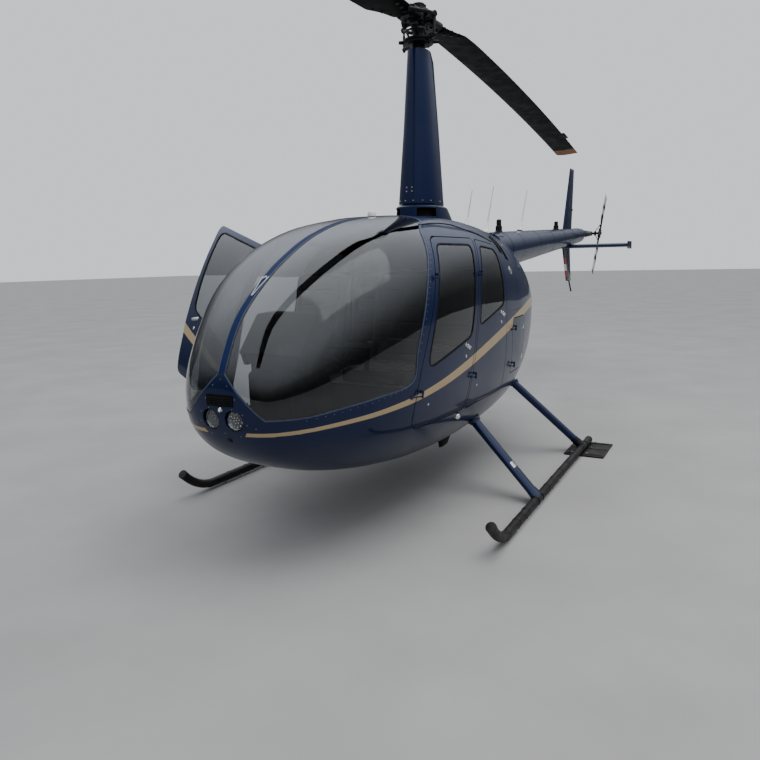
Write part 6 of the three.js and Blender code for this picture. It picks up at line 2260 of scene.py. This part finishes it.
def build_controls():
    stick, grips = bmesh.new(), bmesh.new()
    add_tube(stick, [at(1.48, 0, 0.655), at(1.468, 0, 0.8), at(1.445, 0, 1.0), at(1.43, 0, 1.108)], 0.0145, 20, 6)
    add_tube(stick, [at(1.43, -0.312, 1.108), at(1.43, -0.15, 1.11), at(1.43, 0.15, 1.11), at(1.43, 0.312, 1.108)],
             0.0105, 18, 8)
    add_turned(stick, [(0, -0.03), (0.02, -0.03), (0.023, -0.024), (0.023, 0.024), (0.02, 0.03), (0, 0.03)],
               at(1.43, 0, 1.11), Y_AXIS, 28)
    for side in (1, -1):
        top, low = at(1.432, side * 0.31, 1.106), at(1.456, side * 0.31, 0.985)
        add_rod(stick, top, low, 0.01, None, 16)
        axis = low - top
        rows = [(0, -0.008), (0.016, -0.006), (0.0175, 0.0)]
        for k in range(9):
            rows += [(0.015, 0.012 + 0.012 * k), (0.0165, 0.018 + 0.012 * k)]
        rows += [(0.0175, 0.124), (0.014, 0.128), (0, 0.129)]
        add_turned(grips, rows, top, axis, 24)
        add_rod(grips, top + Vector((-0.012, 0, 0.006)), top + Vector((-0.02, 0, 0.01)), 0.005, None, 12)
    finished("cyclic_tubes", stick, BLACK, "root", "black_metal", "cyclic_stick", recalculate=True)
    finished("cyclic_grips", grips, RUBBER, "root", "black_metal", recalculate=True)
    boot = bmesh.new()
    rows = [(0, 0.0)]
    for k in range(7):
        rows += [(0.047 - 0.0045 * k, 0.004 + 0.011 * k), (0.052 - 0.0045 * k, 0.009 + 0.011 * k)]
    rows += [(0.0165, 0.084), (0, 0.086)]
    add_turned(boot, rows, at(1.48, 0, 0.6415), (-0.05, 0, 1), 32)
    finished("cyclic_boot", boot, RUBBER, "root", "black_metal", recalculate=True)
    levers = bmesh.new()
    for y in (0.04, -0.59):
        add_rod(levers, at(1.075, y, 0.905), at(1.3, y, 0.985), 0.0105, None, 16)
        add_tube(levers, [at(1.3, y, 0.985), at(1.34, y, 0.999), at(1.42, y, 1.026)], 0.0165, 20, 5)
        add_turned(levers, [(0, 0), (0.019, 0.002), (0.0195, 0.024), (0.015, 0.03), (0, 0.031)], at(1.416, y, 1.025),
                   (0.94, 0, 0.33), 24)
        add_block(levers, at(1.045, y - 0.018, 0.885), at(1.105, y + 0.018, 0.925), 0.008)
    finished("collective_levers", levers, BLACK, "root", "black_metal", recalculate=True)


def build_cabin():
    for node, look in (
        ("cabin_floor", CARPET), ("rear_bulkhead", QUILTED), ("front_seat_base", CARPET), ("rear_seat_base", CARPET),
        ("engine", CAST),
    ):
        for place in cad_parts[node].material_slots:
            place.material = look
    build_console()
    build_controls()
    build_seat("front_seat", 0.955, 0.075, 0.545, 0.11, ("front_left_seat", "front_right_seat"))
    build_seat("rear_seat", 0.075, 0.008, 0.59, 0.06, ("rear_seat",))
    ledge = bmesh.new()
    add_block(ledge, at(0.935, -0.575, 0.64), at(0.955, 0.575, 0.9), 0.006)
    finished("front_seat_back_panel", ledge, TRIM, "root", "cabin_trim")


build_doors()
build_shell()
build_cowls()
build_exhaust()
build_fairing()
for blade_name, blade_turn in (("main_blade_front", 0), ("main_blade_rear", math.pi)):
    build_main_blade(blade_name, blade_turn)
build_hub()
build_mast()
build_tail_cone()
build_fins()
build_tail_rotor()
build_gear()
build_hinges()
build_handles()
build_seams()
build_antennas()
build_nose()
build_side_lights()
build_strut_details()
build_cabin()


# Stage and light
def build_stage():
    shape = bmesh.new()
    bmesh.ops.create_grid(shape, x_segments=1, y_segments=1, size=90)
    mesh = bpy.data.meshes.new("floor")
    shape.to_mesh(mesh)
    shape.free()
    mesh.materials.append(moulded("pale_floor", (0.25, 0.246, 0.24), (0.285, 0.281, 0.274), 1.2, (0.7, 0.9), 0,
                                  0.1, 0.002, 60))
    floor = bpy.data.objects.new("floor", mesh)
    bpy.context.scene.collection.objects.link(floor)


def add_light(name, place, target, size, power, colour=(1, 1, 1)):
    data = bpy.data.lights.new(name, "AREA")
    data.shape = "RECTANGLE"
    data.size, data.size_y = size
    data.energy = power
    data.color = colour
    light = bpy.data.objects.new(name, data)
    light.location = place
    light.visible_glossy = False
    light.rotation_euler = (Vector(target) - Vector(place)).to_track_quat("-Z", "Y").to_euler()
    bpy.context.scene.collection.objects.link(light)


def light_scene():
    """A soft dome, brighter overhead, and broad lamps that give the floor its shade."""
    world = bpy.data.worlds.new("studio")
    world.use_nodes = True
    tree = world.node_tree
    back = tree.nodes["Background"]
    where = tree.nodes.new("ShaderNodeTexCoord").outputs["Generated"]
    rise = height_of(tree, where)
    ramp = tree.nodes.new("ShaderNodeValToRGB")
    stops = ramp.color_ramp.elements
    stops[0].position, stops[0].color = 0.0, (0.03, 0.032, 0.035, 1)
    stops[1].position, stops[1].color = 0.95, (0.93, 0.96, 1.0, 1)
    for place, shade in ((0.08, 0.04), (0.2, 0.12), (0.36, 0.36), (0.6, 0.68)):
        stops.new(place).color = (shade * 0.92, shade * 0.97, shade * 1.05, 1)
    tree.links.new(rise, ramp.inputs["Fac"])
    seen = tree.nodes.new("ShaderNodeMix")
    seen.data_type = "RGBA"
    tree.links.new(tree.nodes.new("ShaderNodeLightPath").outputs["Is Camera Ray"], seen.inputs["Factor"])
    tree.links.new(ramp.outputs["Color"], seen.inputs[6])
    seen.inputs[7].default_value = (0.44, 0.455, 0.48, 1)
    tree.links.new(seen.outputs[2], back.inputs["Color"])
    back.inputs["Strength"].default_value = 2.0
    bpy.context.scene.world = world
    add_light("key", (1.2, 3.2, 9.5), (0.4, 0, 0.5), (7, 7), 620, (1, 0.985, 0.96))
    add_light("fill", (8.5, 6.5, 6.5), (0.8, 0, 1.0), (8, 6), 90, (0.94, 0.97, 1))


build_stage()
light_scene()

SKIN.free()
bpy.context.view_layer.update()
